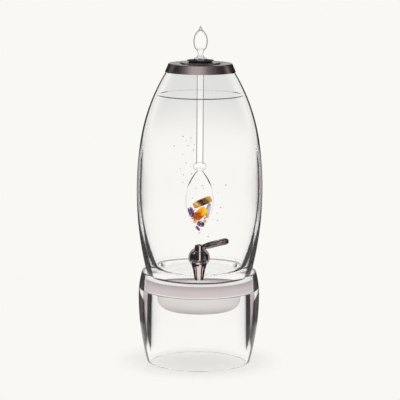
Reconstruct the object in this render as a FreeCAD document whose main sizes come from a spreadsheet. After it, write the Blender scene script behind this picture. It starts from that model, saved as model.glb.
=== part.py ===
import FreeCAD, Part

import math
import os
import re

import Sketcher
from FreeCAD import Placement, Rotation, Vector

# Glass water dispenser in millimetres.
# The origin is the middle of the foot ring on the table, +Z is up and the tap points to -Y.
# From the bottom up: a glass stand, a frosted dish on its ledge, a glass vessel with a tap,
# and a steel lid that carries a glass vial with stones down into the vessel.

doc = FreeCAD.newDocument("water_dispenser")

DIMENSIONS = [
    ("stand_height", 153.4, "table to the rim of the stand"),
    ("stand_radius", 101.5, "widest radius of the stand"),
    ("stand_belly_height", 112, "height of the widest place of the stand"),
    ("stand_foot_taper", 14.5, "how far the foot lies inside the widest radius"),
    ("stand_rim_taper", 5.8, "how far the rim lies inside the widest radius"),
    ("ledge_height", 122.8, "table to the ledge inside the stand"),
    ("recess_radius", 92.6, "radius of the recess above the ledge"),
    ("bore_top_radius", 81.5, "bore of the stand just below the ledge"),
    ("bore_foot_radius", 79.5, "bore of the stand at the table"),
    ("glass_round", 1.3, "rounding of the stand's polished edges"),
    ("pad_thickness", 1.0, "thickness of the two silicone pads"),
    ("side_gap", 0.8, "play of the dish in the recess"),
    ("dish_depth", 21.8, "height of the dish's upper band"),
    ("dish_wall", 3.0, "wall of the dish"),
    ("bowl_radius", 70.5, "outside radius of the dish's lower bowl"),
    ("bowl_depth", 33.6, "how far the bowl hangs below the step"),
    ("bowl_round", 20, "outside rounding of the bowl's bottom"),
    ("cover_thickness", 3.0, "thickness of the dish cover"),
    ("cover_lip", 1.8, "width of the dish's lip round the cover"),
    ("cover_play", 0.3, "play of the cover inside the lip"),
    ("vessel_height", 350.5, "foot to the rim of the vessel"),
    ("belly_radius", 105.1, "widest radius of the vessel"),
    ("belly_height", 143.5, "foot to the widest place of the vessel"),
    ("foot_taper", 18.4, "how far the foot lies inside the widest radius"),
    ("shoulder_height", 225, "foot to where the shoulder begins"),
    ("shoulder_taper", 5.9, "how far the shoulder lies inside the widest radius"),
    ("mouth_radius", 51.8, "outside radius of the vessel at its rim"),
    ("wall_belly", 7.5, "glass thickness at the widest place"),
    ("wall_foot", 17.8, "glass thickness at the floor"),
    ("wall_shoulder", 6.4, "glass thickness at the shoulder"),
    ("wall_rim", 4.6, "glass thickness at the rim"),
    ("floor_thickness", 9.0, "glass thickness of the vessel's floor"),
    ("floor_round", 22, "rounding between floor and wall inside"),
    ("heel_round", 9, "rounding between foot and side outside"),
    ("rim_round", 1.4, "rounding of the mouth's rim"),
    ("foot_ring", 5.7, "width of the flat ring under the foot"),
    ("foot_recess_depth", 1.2, "depth of the hollow under the foot"),
    ("tap_height", 48.5, "foot of the vessel to the tap's axis"),
    ("shank_radius", 7.9, "threaded shank of the tap"),
    ("shank_play", 0.4, "play of the shank in the glass hole"),
    ("shank_end", 12, "how far the shank reaches past the nut seat"),
    ("flange_radius", 17.3, "radius of the tap flange"),
    ("flange_rim", 1.6, "thickness of the flange at its rim"),
    ("flange_dome", 5.4, "height of the flange's dome over the rim"),
    ("gasket_thickness", 1.2, "thinnest place of both tap gaskets"),
    ("spout_offset", 19, "flange seat to the spout's axis"),
    ("barrel_radius", 7.5, "barrel between flange and spout"),
    ("collar_radius", 9.4, "collar that presses on the flange"),
    ("collar_thickness", 2.0, "thickness of that collar"),
    ("spout_length", 33, "tap axis to the outlet"),
    ("spout_radius", 12.3, "widest radius of the spout"),
    ("outlet_radius", 7.9, "radius of the spout at the outlet"),
    ("neck_radius", 7.0, "neck, bonnet and hub of the tap"),
    ("neck_height", 10.0, "tap axis to the top of the neck"),
    ("water_bore", 4.0, "radius of the outlet bore"),
    ("inlet_bore", 3.0, "radius of the inlet bore through the shank"),
    ("plug_radius", 4.5, "radius of the valve plug"),
    ("running_gap", 0.05, "radial play of turning pieces"),
    ("plug_drop", 8.0, "tap axis to the seat of the plug"),
    ("plug_rise", 6.0, "tap axis to the shoulder of the plug"),
    ("port_radius", 2.8, "radius of the port in the plug"),
    ("ring_section", 0.5, "section radius of the plug's rings"),
    ("gland_radius", 5.6, "threaded bore for the bonnet"),
    ("bonnet_height", 3.9, "height of the bonnet above the neck"),
    ("stem_radius", 3.0, "stem of the plug"),
    ("square_side", 4.0, "square end of the stem"),
    ("hub_height", 10.0, "height of the lever's hub"),
    ("hub_gap", 0.4, "gap between bonnet and hub"),
    ("lever_reach", 47.5, "tap axis to the tip of the lever"),
    ("lever_tilt", 15, "rise of the lever in degrees"),
    ("lever_width", 17, "widest place of the lever's paddle"),
    ("lever_root", 8.4, "width of the lever at the hub"),
    ("lever_thickness", 9.0, "thickness of the lever"),
    ("lever_round", 3.0, "rounding of the lever's edges"),
    ("screw_head_radius", 5.2, "head of the lever screw"),
    ("screw_head_height", 1.8, "height of that head"),
    ("screw_radius", 1.5, "thread of the lever screw"),
    ("screw_length", 7, "length of that thread"),
    ("washer_radius", 12.6, "rear washer"),
    ("washer_thickness", 1.5, "thickness of the rear washer"),
    ("nut_flats", 24, "width of the nut across its flats"),
    ("nut_height", 7, "height of the nut"),
    ("sheet", 1.2, "sheet steel of the lid"),
    ("seal_height", 4.8, "rim of the vessel to the underside of the lid"),
    ("skirt_drop", 8.0, "how far the skirt reaches below the vessel's rim"),
    ("skirt_radius", 58.8, "lower radius of the lid"),
    ("lid_top_radius", 52.8, "upper radius of the lid before rounding"),
    ("lid_round", 1.6, "rounding of the lid's upper edge"),
    ("boss_radius", 34.5, "radius of the raised ring on the lid"),
    ("boss_height", 1.8, "height of the raised ring"),
    ("bush_hole", 17, "radius of the hole in the lid"),
    ("seal_lip", 6.0, "how far the seal reaches into the mouth"),
    ("seal_width", 6.4, "width of the seal's flat part"),
    ("seal_play", 0.5, "gap between the seal's lip and the glass"),
    ("bush_top_radius", 22.2, "upper flange of the bush"),
    ("bush_waist_radius", 18.4, "lower ring of the bush"),
    ("bush_rise", 3.6, "height of the bush over the raised ring"),
    ("bush_grip", 2.0, "thickness of the bush below the lid"),
    ("tube_radius", 5.8, "outside radius of the vial's tube"),
    ("tube_wall", 1.4, "wall of the tube"),
    ("tube_play", 0.1, "play of the tube in the bush"),
    ("seam_depth", 186.4, "top of the bush to the seam of the vial"),
    ("collar_bulge", 11, "radius of the collar on the tube"),
    ("collar_length", 14, "height of that collar above the seam"),
    ("spigot_length", 5, "plug of the tube in the vial's neck"),
    ("neck_glass", 5.2, "outside radius of the vial's neck"),
    ("drop_radius", 24.2, "widest radius of the vial"),
    ("drop_belly", 50, "seam to the widest place of the vial"),
    ("drop_length", 114, "seam to the tip of the vial"),
    ("drop_wall", 1.6, "glass wall of the vial"),
    ("drop_taper", 0.32, "share of the radius lost half-way from there to the tip"),
    ("finial_height", 57.6, "foot to tip of the finial"),
    ("finial_foot", 10.4, "radius of the finial's foot"),
    ("finial_neck", 4.3, "radius of the finial's neck"),
    ("finial_bulb", 11.9, "widest radius of the finial"),
    ("finial_wall", 1.5, "glass wall of the finial"),
]

dims = doc.addObject("Spreadsheet::Sheet", "dims")
for row, (alias, number, meaning) in enumerate(DIMENSIONS, start=1):
    dims.set(f"A{row}", meaning)
    dims.set(f"B{row}", str(number))
    dims.setAlias(f"B{row}", alias)
doc.recompute()
ALIASES = {alias for alias, number, meaning in DIMENSIONS}


def formula(text):
    """A formula of the sheet's words, written the way another object of the document reads it."""
    return re.sub(r"[a-z_]+", lambda word: "dims." + word[0] if word[0] in ALIASES else word[0], text)


def value(text):
    """What a formula of the sheet's words gives now."""
    return float(dims.evalExpression(text))


def bind(thing, **properties):
    """Tie properties of an object to formulas."""
    for name, text in properties.items():
        thing.setExpression(name, formula(text))


def place(thing, x="0", y="0", z="0", turn=None):
    """Put a piece at a spot given by formulas, turned about its own origin."""
    thing.Placement = Placement(Vector(), turn or Rotation())
    for axis, text in zip("xyz", (x, y, z)):
        if text != "0":
            thing.setExpression(f"Placement.Base.{axis}", formula(text))


def plane_of(body, role):
    """One of the body's own origin planes."""
    return next(part for part in body.Origin.OriginFeatures if part.Role == role)


def new_sketch(body, name, role):
    """An empty sketch on one of the body's own planes."""
    sketch = body.newObject("Sketcher::SketchObject", name)
    sketch.AttachmentSupport = [(plane_of(body, role), "")]
    sketch.MapMode = "FlatFace"
    return sketch


def pin_corner(sketch, edge, end, text, across):
    """Fix one coordinate of a corner; a corner on an axis of the sketch is tied to that axis."""
    kind, axis = ("DistanceX", -2) if across else ("DistanceY", -1)
    size = value(text)
    if abs(size) < 1e-9:
        sketch.addConstraint(Sketcher.Constraint("PointOnObject", edge, end, axis))
        return
    ends = (-1, 1, edge, end) if size > 0 else (edge, end, -1, 1)
    number = sketch.addConstraint(Sketcher.Constraint(kind, *ends, abs(size)))
    sketch.setExpression(f"Constraints[{number}]", formula(text if size > 0 else f"-({text})"))


def outline(sketch, corners):
    """A closed outline, walked with the solid on the left hand.

    A corner is (across, up) or (across, up, bow), all formulas. With a bow, the edge that
    leaves the corner is an arc of that radius: it bulges out of the solid, or into it where
    the bow is written with a minus.
    """
    spots = [Vector(value(corner[0]), value(corner[1]), 0) for corner in corners]
    starts, ends = [], []
    for number, corner in enumerate(corners):
        here, there = spots[number], spots[(number + 1) % len(spots)]
        if len(corner) == 2:
            edge = sketch.addGeometry(Part.LineSegment(here, there))
            starts.append((edge, 1))
            ends.append((edge, 2))
            continue
        hollow = corner[2].startswith("-")
        bow = corner[2].lstrip("-")
        radius, chord = value(bow), there - here
        left = Vector(-chord.y, chord.x, 0).normalize() * (-1 if hollow else 1)
        centre = (here + there) / 2 + left * math.sqrt(radius**2 - (chord.Length / 2) ** 2)
        angles = [math.atan2(spot.y - centre.y, spot.x - centre.x) for spot in (here, there)]
        if hollow:
            angles.reverse()
        circle = Part.Circle(centre, Vector(0, 0, 1), radius)
        edge = sketch.addGeometry(Part.ArcOfCircle(circle, *angles))
        size = sketch.addConstraint(Sketcher.Constraint("Radius", edge, radius))
        sketch.setExpression(f"Constraints[{size}]", formula(bow))
        starts.append((edge, 2 if hollow else 1))
        ends.append((edge, 1 if hollow else 2))
    for number, corner in enumerate(corners):
        sketch.addConstraint(Sketcher.Constraint("Coincident", *ends[number - 1], *starts[number]))
        pin_corner(sketch, *starts[number], corner[0], across=True)
        pin_corner(sketch, *starts[number], corner[1], across=False)


def turned_feature(body, name, corners, kind="Revolution", role="XZ_Plane"):
    """Turn an outline about the upright line of its sketch, to add or to cut."""
    sketch = new_sketch(body, name + "_outline", role)
    outline(sketch, corners)
    turn = body.newObject("PartDesign::" + kind, name)
    turn.Profile = sketch
    turn.ReferenceAxis = (sketch, ["V_Axis"])
    turn.Angle = 360
    sketch.Visibility = False
    doc.recompute()
    return turn


def new_body(label):
    body = doc.addObject("PartDesign::Body", label)
    body.Label = label
    return body


def turned(label, corners, role="XZ_Plane"):
    """A piece that is one turned outline."""
    body = new_body(label)
    turned_feature(body, label + "_turn", corners, role=role)
    return body


def round_rings(body, name, size, *rings):
    """Round the circular edges of the body that lie at the given (radius, height)."""
    doc.recompute()
    base = body.Tip
    wanted = [(value(radius), value(height)) for radius, height in rings]
    names = []
    for number, edge in enumerate(base.Shape.Edges, start=1):
        if not isinstance(edge.Curve, Part.Circle):
            continue
        spot = (edge.Curve.Radius, edge.Curve.Center.z)
        if any(math.dist(spot, ring) < 0.01 for ring in wanted):
            names.append(f"Edge{number}")
    if len(names) != len(rings):
        raise ValueError(f"{name}: {len(names)} edges found for {len(rings)} rings")
    fillet = body.newObject("PartDesign::Fillet", name)
    fillet.Base = (base, names)
    bind(fillet, Radius=size)
    doc.recompute()
    return fillet


def side_arc(radius, level, rise, taper):
    """An arc that stands upright at a radius and level, and moves in by the taper over the rise.

    An arc here is its centre's radius, its centre's height and its bow.
    """
    bow = f"((({rise}) ^ 2 + ({taper}) ^ 2) / (2 * ({taper})))"
    return (f"({radius} - {bow})", level, bow)


def across_arc(arc, height):
    """Formula for the radius that a bowed line has at a height."""
    centre, level, bow = arc
    return f"({centre} + sqrt({bow} ^ 2 - ({height} - ({level})) ^ 2))"


def closing_arc(arc, height, end_radius, end_height):
    """The arc that goes on smoothly from a height of this one and ends at a given spot."""
    centre, level, bow = arc
    edge = across_arc(arc, height)
    across, up = f"(({edge} - ({centre})) / {bow})", f"(({height} - ({level})) / {bow})"
    reach = f"(({end_radius} - {edge}) ^ 2 + ({end_height} - ({height})) ^ 2)"
    inward = f"(({edge} - ({end_radius})) * {across} - ({end_height} - ({height})) * {up})"
    next_bow = f"({reach} / (2 * {inward}))"
    return (f"({edge} - {next_bow} * {across})", f"({height} - {next_bow} * {up})", next_bow)


# Heights that stack up from the table
DISH_STEP = "(ledge_height + pad_thickness)"
DISH_TOP = f"({DISH_STEP} + dish_depth)"
FOOT = f"({DISH_TOP} + pad_thickness)"
RIM = f"({FOOT} + vessel_height)"

# The stand: a thick barrel of glass, open below, with a ledge inside its rim
STAND_SIDE = side_arc(
    "stand_radius", "stand_belly_height", "stand_belly_height", "stand_foot_taper"
)
STAND_RIM = side_arc(
    "stand_radius", "stand_belly_height", "stand_height - stand_belly_height", "stand_rim_taper"
)
STAND_FOOT_RADIUS = "(stand_radius - stand_foot_taper)"
STAND_RIM_RADIUS = "(stand_radius - stand_rim_taper)"
stand_glass = turned(
    "stand_glass",
    [
        ("bore_foot_radius", "0"),
        (STAND_FOOT_RADIUS, "0", STAND_SIDE[2]),
        ("stand_radius", "stand_belly_height", STAND_RIM[2]),
        (STAND_RIM_RADIUS, "stand_height"),
        ("recess_radius", "stand_height"),
        ("recess_radius", "ledge_height"),
        ("bore_top_radius", "ledge_height"),
    ],
)
round_rings(
    stand_glass,
    "stand_edges",
    "glass_round",
    ("bore_foot_radius", "0"),
    (STAND_FOOT_RADIUS, "0"),
    (STAND_RIM_RADIUS, "stand_height"),
    ("recess_radius", "stand_height"),
    ("bore_top_radius", "ledge_height"),
)

# A clear silicone ring on the ledge carries the dish
ledge_pad = turned(
    "ledge_pad",
    [
        ("bore_top_radius + glass_round + 0.5", "0"),
        ("recess_radius - side_gap - 1", "0"),
        ("recess_radius - side_gap - 1", "pad_thickness"),
        ("bore_top_radius + glass_round + 0.5", "pad_thickness"),
    ],
)
place(ledge_pad, z="ledge_height")

# The frosted dish: a wide band on the ledge and a round bowl that hangs through it
DISH_RADIUS = "(recess_radius - side_gap)"
COVER_RADIUS = f"({DISH_RADIUS} - cover_lip - cover_play)"
BAND_INSIDE = f"({DISH_RADIUS} - cover_lip - dish_wall)"
BOWL_FLOOR = "(bowl_round - bowl_depth)"
cooling_dish = turned(
    "cooling_dish",
    [
        ("0", "-bowl_depth"),
        ("bowl_radius - bowl_round", "-bowl_depth", "bowl_round"),
        ("bowl_radius", BOWL_FLOOR),
        ("bowl_radius", "0"),
        (DISH_RADIUS, "0"),
        (DISH_RADIUS, "dish_depth"),
        (f"{DISH_RADIUS} - cover_lip", "dish_depth"),
        (f"{DISH_RADIUS} - cover_lip", "dish_depth - cover_thickness"),
        (BAND_INSIDE, "dish_depth - cover_thickness"),
        (BAND_INSIDE, "dish_wall"),
        ("bowl_radius - dish_wall", "dish_wall"),
        ("bowl_radius - dish_wall", BOWL_FLOOR, "-(bowl_round - dish_wall)"),
        ("bowl_radius - bowl_round", "dish_wall - bowl_depth"),
        ("0", "dish_wall - bowl_depth"),
    ],
)
place(cooling_dish, z=DISH_STEP)

# The cover drops into the rebate of the dish and is flush with its lip
cooling_dish_cover = turned(
    "cooling_dish_cover",
    [
        ("0", "-cover_thickness"),
        (COVER_RADIUS, "-cover_thickness"),
        (COVER_RADIUS, "0"),
        ("0", "0"),
    ],
)
place(cooling_dish_cover, z=DISH_TOP)

# A second clear ring lies on the cover, under the polished foot of the vessel
FOOT_RADIUS = "(belly_radius - foot_taper)"
FOOT_HOLLOW = f"({FOOT_RADIUS} - heel_round - foot_ring)"
vessel_pad = turned(
    "vessel_pad",
    [
        (f"{FOOT_HOLLOW} + 1", "0"),
        (f"{FOOT_RADIUS} - heel_round", "0"),
        (f"{FOOT_RADIUS} - heel_round", "pad_thickness"),
        (f"{FOOT_HOLLOW} + 1", "pad_thickness"),
    ],
)
place(vessel_pad, z=DISH_TOP)

# The vessel: side and shoulder outside, a wall that grows from the shoulder to the thick floor
RISE = "(shoulder_height - belly_height)"
LOWER_SIDE = side_arc("belly_radius", "belly_height", "belly_height", "foot_taper")
UPPER_SIDE = side_arc("belly_radius", "belly_height", RISE, "shoulder_taper")
SHOULDER = closing_arc(UPPER_SIDE, "shoulder_height", "mouth_radius", "vessel_height")
SHOULDER_RADIUS = "(belly_radius - shoulder_taper)"
INSIDE = "(belly_radius - wall_belly)"
FLOOR_RADIUS = f"({FOOT_RADIUS} - wall_foot)"
SHOULDER_INSIDE = f"({SHOULDER_RADIUS} - wall_shoulder)"
MOUTH = "(mouth_radius - wall_rim)"
LOWER_INSIDE = side_arc(
    INSIDE, "belly_height", "belly_height - floor_thickness", f"{INSIDE} - {FLOOR_RADIUS}"
)
UPPER_INSIDE = side_arc(INSIDE, "belly_height", RISE, f"{INSIDE} - {SHOULDER_INSIDE}")
SHOULDER_INNER = closing_arc(UPPER_INSIDE, "shoulder_height", MOUTH, "vessel_height")
vessel_glass = turned(
    "vessel_glass",
    [
        ("0", "foot_recess_depth"),
        (f"{FOOT_HOLLOW} - foot_recess_depth", "foot_recess_depth"),
        (FOOT_HOLLOW, "0"),
        (FOOT_RADIUS, "0", LOWER_SIDE[2]),
        ("belly_radius", "belly_height", UPPER_SIDE[2]),
        (SHOULDER_RADIUS, "shoulder_height", SHOULDER[2]),
        ("mouth_radius", "vessel_height"),
        (MOUTH, "vessel_height", "-" + SHOULDER_INNER[2]),
        (SHOULDER_INSIDE, "shoulder_height", "-" + UPPER_INSIDE[2]),
        (INSIDE, "belly_height", "-" + LOWER_INSIDE[2]),
        (FLOOR_RADIUS, "floor_thickness"),
        ("0", "floor_thickness"),
    ],
)
round_rings(vessel_glass, "heel", "heel_round", (FOOT_RADIUS, "0"))
round_rings(vessel_glass, "floor_corner", "floor_round", (FLOOR_RADIUS, "floor_thickness"))
round_rings(
    vessel_glass,
    "mouth_rim",
    "rim_round",
    ("mouth_radius", "vessel_height"),
    (MOUTH, "vessel_height"),
)
hole_sketch = new_sketch(vessel_glass, "tap_hole_circle", "XZ_Plane")
hole_sketch.addGeometry(Part.Circle(Vector(0, value("tap_height"), 0), Vector(0, 0, 1), 8))
hole_sketch.addConstraint(Sketcher.Constraint("PointOnObject", 0, 3, -2))
hole_sketch.addConstraint(Sketcher.Constraint("DistanceY", -1, 1, 0, 3, value("tap_height")))
hole_sketch.setExpression("Constraints[1]", formula("tap_height"))
hole_sketch.addConstraint(Sketcher.Constraint("Radius", 0, 8))
hole_sketch.setExpression("Constraints[2]", formula("shank_radius + shank_play"))
tap_hole = vessel_glass.newObject("PartDesign::Pocket", "tap_hole")
tap_hole.Profile = hole_sketch
tap_hole.Reversed = True
bind(tap_hole, Length="belly_radius * 1.2")
doc.recompute()
place(vessel_glass, z=FOOT)

# The tap sits square on the front of the vessel.
# Its flange plane clears the glass at its nearest place, and its nut does so inside.
TAP_LEVEL = f"({FOOT} + tap_height)"
FLANGE_PLANE = f"({across_arc(LOWER_SIDE, '(tap_height + flange_radius)')} + gasket_thickness)"
REAR_PLANE = f"({across_arc(LOWER_INSIDE, '(tap_height - washer_radius)')} - gasket_thickness)"
SPOUT_AXIS = f"({FLANGE_PLANE} + spout_offset)"
FORWARD = Rotation(Vector(0, 0, 1), 180)


def gasket(label, radius, back, front):
    """A ring round the shank between two planes, cut to the curve of the glass."""
    ring = doc.addObject("Part::Cylinder", label + "_disc")
    bind(ring, Radius=radius, Height=f"{front} - {back}")
    place(ring, y=f"-{back}", z=TAP_LEVEL, turn=Rotation(Vector(1, 0, 0), 90))
    hole = doc.addObject("Part::Cylinder", label + "_hole")
    bind(hole, Radius="shank_radius + shank_play + 0.1", Height=f"{front} - {back} + 2")
    place(hole, y=f"1 - {back}", z=TAP_LEVEL, turn=Rotation(Vector(1, 0, 0), 90))
    washer = doc.addObject("Part::Cut", label + "_ring")
    washer.Base, washer.Tool = ring, hole
    shaped = doc.addObject("Part::Cut", label)
    shaped.Label = label
    shaped.Base, shaped.Tool = washer, vessel_glass
    return shaped


tap_front_gasket = gasket(
    "tap_front_gasket", "flange_radius - 1", f"({FLANGE_PLANE} - 9)", FLANGE_PLANE
)
tap_rear_gasket = gasket("tap_rear_gasket", "washer_radius", REAR_PLANE, f"({REAR_PLANE} + 9)")

# Flange: a flat rim and a dome that rises to the collar of the tap, turned about the shank
FLANGE_TOP = "(flange_rim + flange_dome)"
tap_flange = turned(
    "tap_flange",
    [
        ("shank_radius + 0.1", "0"),
        ("flange_radius", "0"),
        ("flange_radius", "flange_rim * 0.5"),
        ("flange_radius - flange_rim * 0.5", "flange_rim"),
        ("flange_radius - 2", "flange_rim", "flange_dome * 1.6"),
        ("collar_radius", FLANGE_TOP),
        ("shank_radius + 0.1", FLANGE_TOP),
    ],
    role="XY_Plane",
)
place(tap_flange, y=f"-{FLANGE_PLANE}", z=TAP_LEVEL, turn=FORWARD)

# Tap body: an upright spout with a neck, and a barrel that runs back through the glass
tap_body = new_body("tap_body")
turned_feature(
    tap_body,
    "spout",
    [
        ("0", "-spout_length"),
        ("outlet_radius", "-spout_length"),
        ("spout_radius * 0.89", "-spout_length * 0.44", "spout_radius * 2"),
        ("spout_radius", "-neck_radius", "spout_radius - neck_radius + 0.8"),
        ("neck_radius", "-1"),
        ("neck_radius", "neck_height"),
        ("0", "neck_height"),
    ],
)
turned_feature(
    tap_body,
    "barrel",
    [
        ("0", "0"),
        ("barrel_radius", "0"),
        ("barrel_radius", f"spout_offset - {FLANGE_TOP} - collar_thickness"),
        ("collar_radius", f"spout_offset - {FLANGE_TOP} - collar_thickness * 0.6"),
        ("collar_radius", f"spout_offset - {FLANGE_TOP}"),
        ("shank_radius", f"spout_offset - {FLANGE_TOP}"),
        ("shank_radius", f"{SPOUT_AXIS} - {REAR_PLANE} + shank_end - 0.8"),
        ("shank_radius - 0.8", f"{SPOUT_AXIS} - {REAR_PLANE} + shank_end"),
        ("0", f"{SPOUT_AXIS} - {REAR_PLANE} + shank_end"),
    ],
    role="XY_Plane",
)
turned_feature(
    tap_body,
    "upright_bore",
    [
        ("0", "-spout_length - 1"),
        ("water_bore", "-spout_length - 1"),
        ("water_bore", "-plug_drop"),
        ("plug_radius + running_gap", "-plug_drop"),
        ("plug_radius + running_gap", "plug_rise"),
        ("gland_radius", "plug_rise"),
        ("gland_radius", "neck_height + 1"),
        ("0", "neck_height + 1"),
    ],
    kind="Groove",
)
turned_feature(
    tap_body,
    "inlet_bore_cut",
    [
        ("0", "0"),
        ("inlet_bore", "0"),
        ("inlet_bore", f"{SPOUT_AXIS} - {REAR_PLANE} + shank_end + 1"),
        ("0", f"{SPOUT_AXIS} - {REAR_PLANE} + shank_end + 1"),
    ],
    kind="Groove",
    role="XY_Plane",
)
place(tap_body, y=f"-{SPOUT_AXIS}", z=TAP_LEVEL)

# Washer and nut behind the glass
washer_disc = doc.addObject("Part::Cylinder", "washer_disc")
bind(washer_disc, Radius="washer_radius", Height="washer_thickness")
washer_hole = doc.addObject("Part::Cylinder", "washer_hole")
bind(washer_hole, Radius="shank_radius + shank_play", Height="washer_thickness")
tap_rear_washer = doc.addObject("Part::Cut", "tap_rear_washer")
tap_rear_washer.Label = "tap_rear_washer"
tap_rear_washer.Base, tap_rear_washer.Tool = washer_disc, washer_hole
place(
    tap_rear_washer,
    y=f"washer_thickness - {REAR_PLANE}",
    z=TAP_LEVEL,
    turn=Rotation(Vector(1, 0, 0), 90),
)
nut_block = doc.addObject("Part::Prism", "nut_block")
nut_block.Polygon = 6
bind(nut_block, Circumradius="nut_flats / sqrt(3)", Height="nut_height")
nut_thread = doc.addObject("Part::Cylinder", "nut_thread")
bind(nut_thread, Radius="shank_radius + running_gap", Height="nut_height")
tap_nut = doc.addObject("Part::Cut", "tap_nut")
tap_nut.Label = "tap_nut"
tap_nut.Base, tap_nut.Tool = nut_block, nut_thread
place(
    tap_nut,
    y=f"washer_thickness + nut_height - {REAR_PLANE}",
    z=TAP_LEVEL,
    turn=Rotation(Vector(1, 0, 0), 90),
)

# Valve plug: it turns in the upright bore, with a side port and an open bottom.
# With the lever to the right the port looks left, so the tap is shut.
RING_SEAT = "(plug_radius + running_gap - ring_section * 2)"
LOW_RING = "(-plug_drop + 2.1)"
HIGH_RING = "(plug_rise - 1.4)"
STEM_TOP = "(neck_height + bonnet_height + hub_gap + hub_height - 3)"
STEM_ROUND_TOP = "(neck_height + bonnet_height)"
tap_plug = new_body("tap_plug")
turned_feature(
    tap_plug,
    "plug_turn",
    [
        ("0", "-plug_drop"),
        ("plug_radius", "-plug_drop"),
        ("plug_radius", f"{LOW_RING} - ring_section"),
        (RING_SEAT, f"{LOW_RING} - ring_section"),
        (RING_SEAT, f"{LOW_RING} + ring_section"),
        ("plug_radius", f"{LOW_RING} + ring_section"),
        ("plug_radius", f"{HIGH_RING} - ring_section"),
        (RING_SEAT, f"{HIGH_RING} - ring_section"),
        (RING_SEAT, f"{HIGH_RING} + ring_section"),
        ("plug_radius", f"{HIGH_RING} + ring_section"),
        ("plug_radius", "plug_rise - 0.2"),
        ("stem_radius", "plug_rise - 0.2"),
        ("stem_radius", STEM_ROUND_TOP),
        ("0", STEM_ROUND_TOP),
    ],
)
turned_feature(
    tap_plug,
    "plug_bore",
    [
        ("0", "-plug_drop - 1"),
        ("port_radius", "-plug_drop - 1"),
        ("port_radius", "port_radius * 1.2"),
        ("0", "port_radius * 1.2"),
    ],
    kind="Groove",
)
port_sketch = new_sketch(tap_plug, "port_circle", "YZ_Plane")
port_sketch.addGeometry(Part.Circle(Vector(), Vector(0, 0, 1), 2))
port_sketch.addConstraint(Sketcher.Constraint("Coincident", 0, 3, -1, 1))
port_sketch.addConstraint(Sketcher.Constraint("Radius", 0, 2))
port_sketch.setExpression("Constraints[1]", formula("port_radius"))
port = tap_plug.newObject("PartDesign::Pocket", "port")
port.Profile = port_sketch
bind(port, Length="plug_radius + 1")
doc.recompute()
square_sketch = new_sketch(tap_plug, "square_outline", "XY_Plane")
square_sketch.AttachmentOffset = Placement(Vector(0, 0, value(STEM_ROUND_TOP)), Rotation())
square_sketch.setExpression("AttachmentOffset.Base.z", formula(STEM_ROUND_TOP))
HALF_SQUARE = "square_side / 2"
SQUARE = [
    (f"-{HALF_SQUARE}", f"-{HALF_SQUARE}"),
    (HALF_SQUARE, f"-{HALF_SQUARE}"),
    (HALF_SQUARE, HALF_SQUARE),
    (f"-{HALF_SQUARE}", HALF_SQUARE),
]
outline(square_sketch, SQUARE)
square = tap_plug.newObject("PartDesign::Pad", "square_end")
square.Profile = square_sketch
bind(square, Length=f"{STEM_TOP} - {STEM_ROUND_TOP}")
doc.recompute()
turned_feature(
    tap_plug,
    "screw_thread",
    [
        ("0", f"{STEM_TOP} - screw_length"),
        ("screw_radius", f"{STEM_TOP} - screw_length"),
        ("screw_radius", f"{STEM_TOP} + 1"),
        ("0", f"{STEM_TOP} + 1"),
    ],
    kind="Groove",
)
place(tap_plug, y=f"-{SPOUT_AXIS}", z=TAP_LEVEL)

# Two rings seal the plug above and below its port
rings = []
for name, level in (("low_ring", LOW_RING), ("high_ring", HIGH_RING)):
    ring = doc.addObject("Part::Torus", name)
    bind(ring, Radius1=f"{RING_SEAT} + ring_section", Radius2="ring_section - running_gap")
    place(ring, z=level)
    rings.append(ring)
tap_plug_rings = doc.addObject("Part::Compound", "tap_plug_rings")
tap_plug_rings.Label = "tap_plug_rings"
tap_plug_rings.Links = rings
place(tap_plug_rings, y=f"-{SPOUT_AXIS}", z=TAP_LEVEL)

# The bonnet screws into the neck and keeps the plug down
tap_bonnet = turned(
    "tap_bonnet",
    [
        ("stem_radius + running_gap", "plug_rise + 0.2"),
        ("gland_radius - 0.05", "plug_rise + 0.2"),
        ("gland_radius - 0.05", "neck_height"),
        ("neck_radius - 0.5", "neck_height"),
        ("neck_radius - 0.5", "neck_height + 0.6"),
        ("neck_radius", "neck_height + 1"),
        ("neck_radius", "neck_height + bonnet_height - 0.4"),
        ("neck_radius - 0.4", "neck_height + bonnet_height"),
        ("stem_radius + running_gap", "neck_height + bonnet_height"),
    ],
)
place(tap_bonnet, y=f"-{SPOUT_AXIS}", z=TAP_LEVEL)

# Lever: a paddle that rises from the hub, seen from above like a long drop
HUB_BASE = "(neck_height + bonnet_height + hub_gap)"
HUB_TOP = f"({HUB_BASE} + hub_height)"
ARM_LENGTH = "((lever_reach - lever_thickness * 0.3) / cos(lever_tilt * 1 deg))"
tap_lever = new_body("tap_lever")
arm_sketch = new_sketch(tap_lever, "paddle_outline", "XY_Plane")
arm_sketch.AttachmentOffset = Placement(
    Vector(0, 0, value(f"{HUB_BASE} + hub_height / 2")),
    Rotation(Vector(0, -1, 0), value("lever_tilt")),
)
arm_sketch.setExpression("AttachmentOffset.Base.z", formula(f"{HUB_BASE} + hub_height / 2"))
arm_sketch.setExpression("AttachmentOffset.Rotation.Angle", formula("lever_tilt * 1 deg"))
PADDLE_END = f"({ARM_LENGTH} - lever_width / 2)"
outline(
    arm_sketch,
    [
        ("0", "-lever_root / 2"),
        ("neck_radius + 3", "-lever_root / 2", "lever_reach * 1.6"),
        (PADDLE_END, "-lever_width / 2", "lever_width / 2 + 0.01"),
        (PADDLE_END, "lever_width / 2", "lever_reach * 1.6"),
        ("neck_radius + 3", "lever_root / 2"),
        ("0", "lever_root / 2"),
    ],
)
arm = tap_lever.newObject("PartDesign::Pad", "paddle")
arm.Profile = arm_sketch
arm.Midplane = True
bind(arm, Length="lever_thickness")
doc.recompute()
tilt = math.radians(value("lever_tilt"))
along = Vector(math.cos(tilt), 0, math.sin(tilt))
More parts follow.
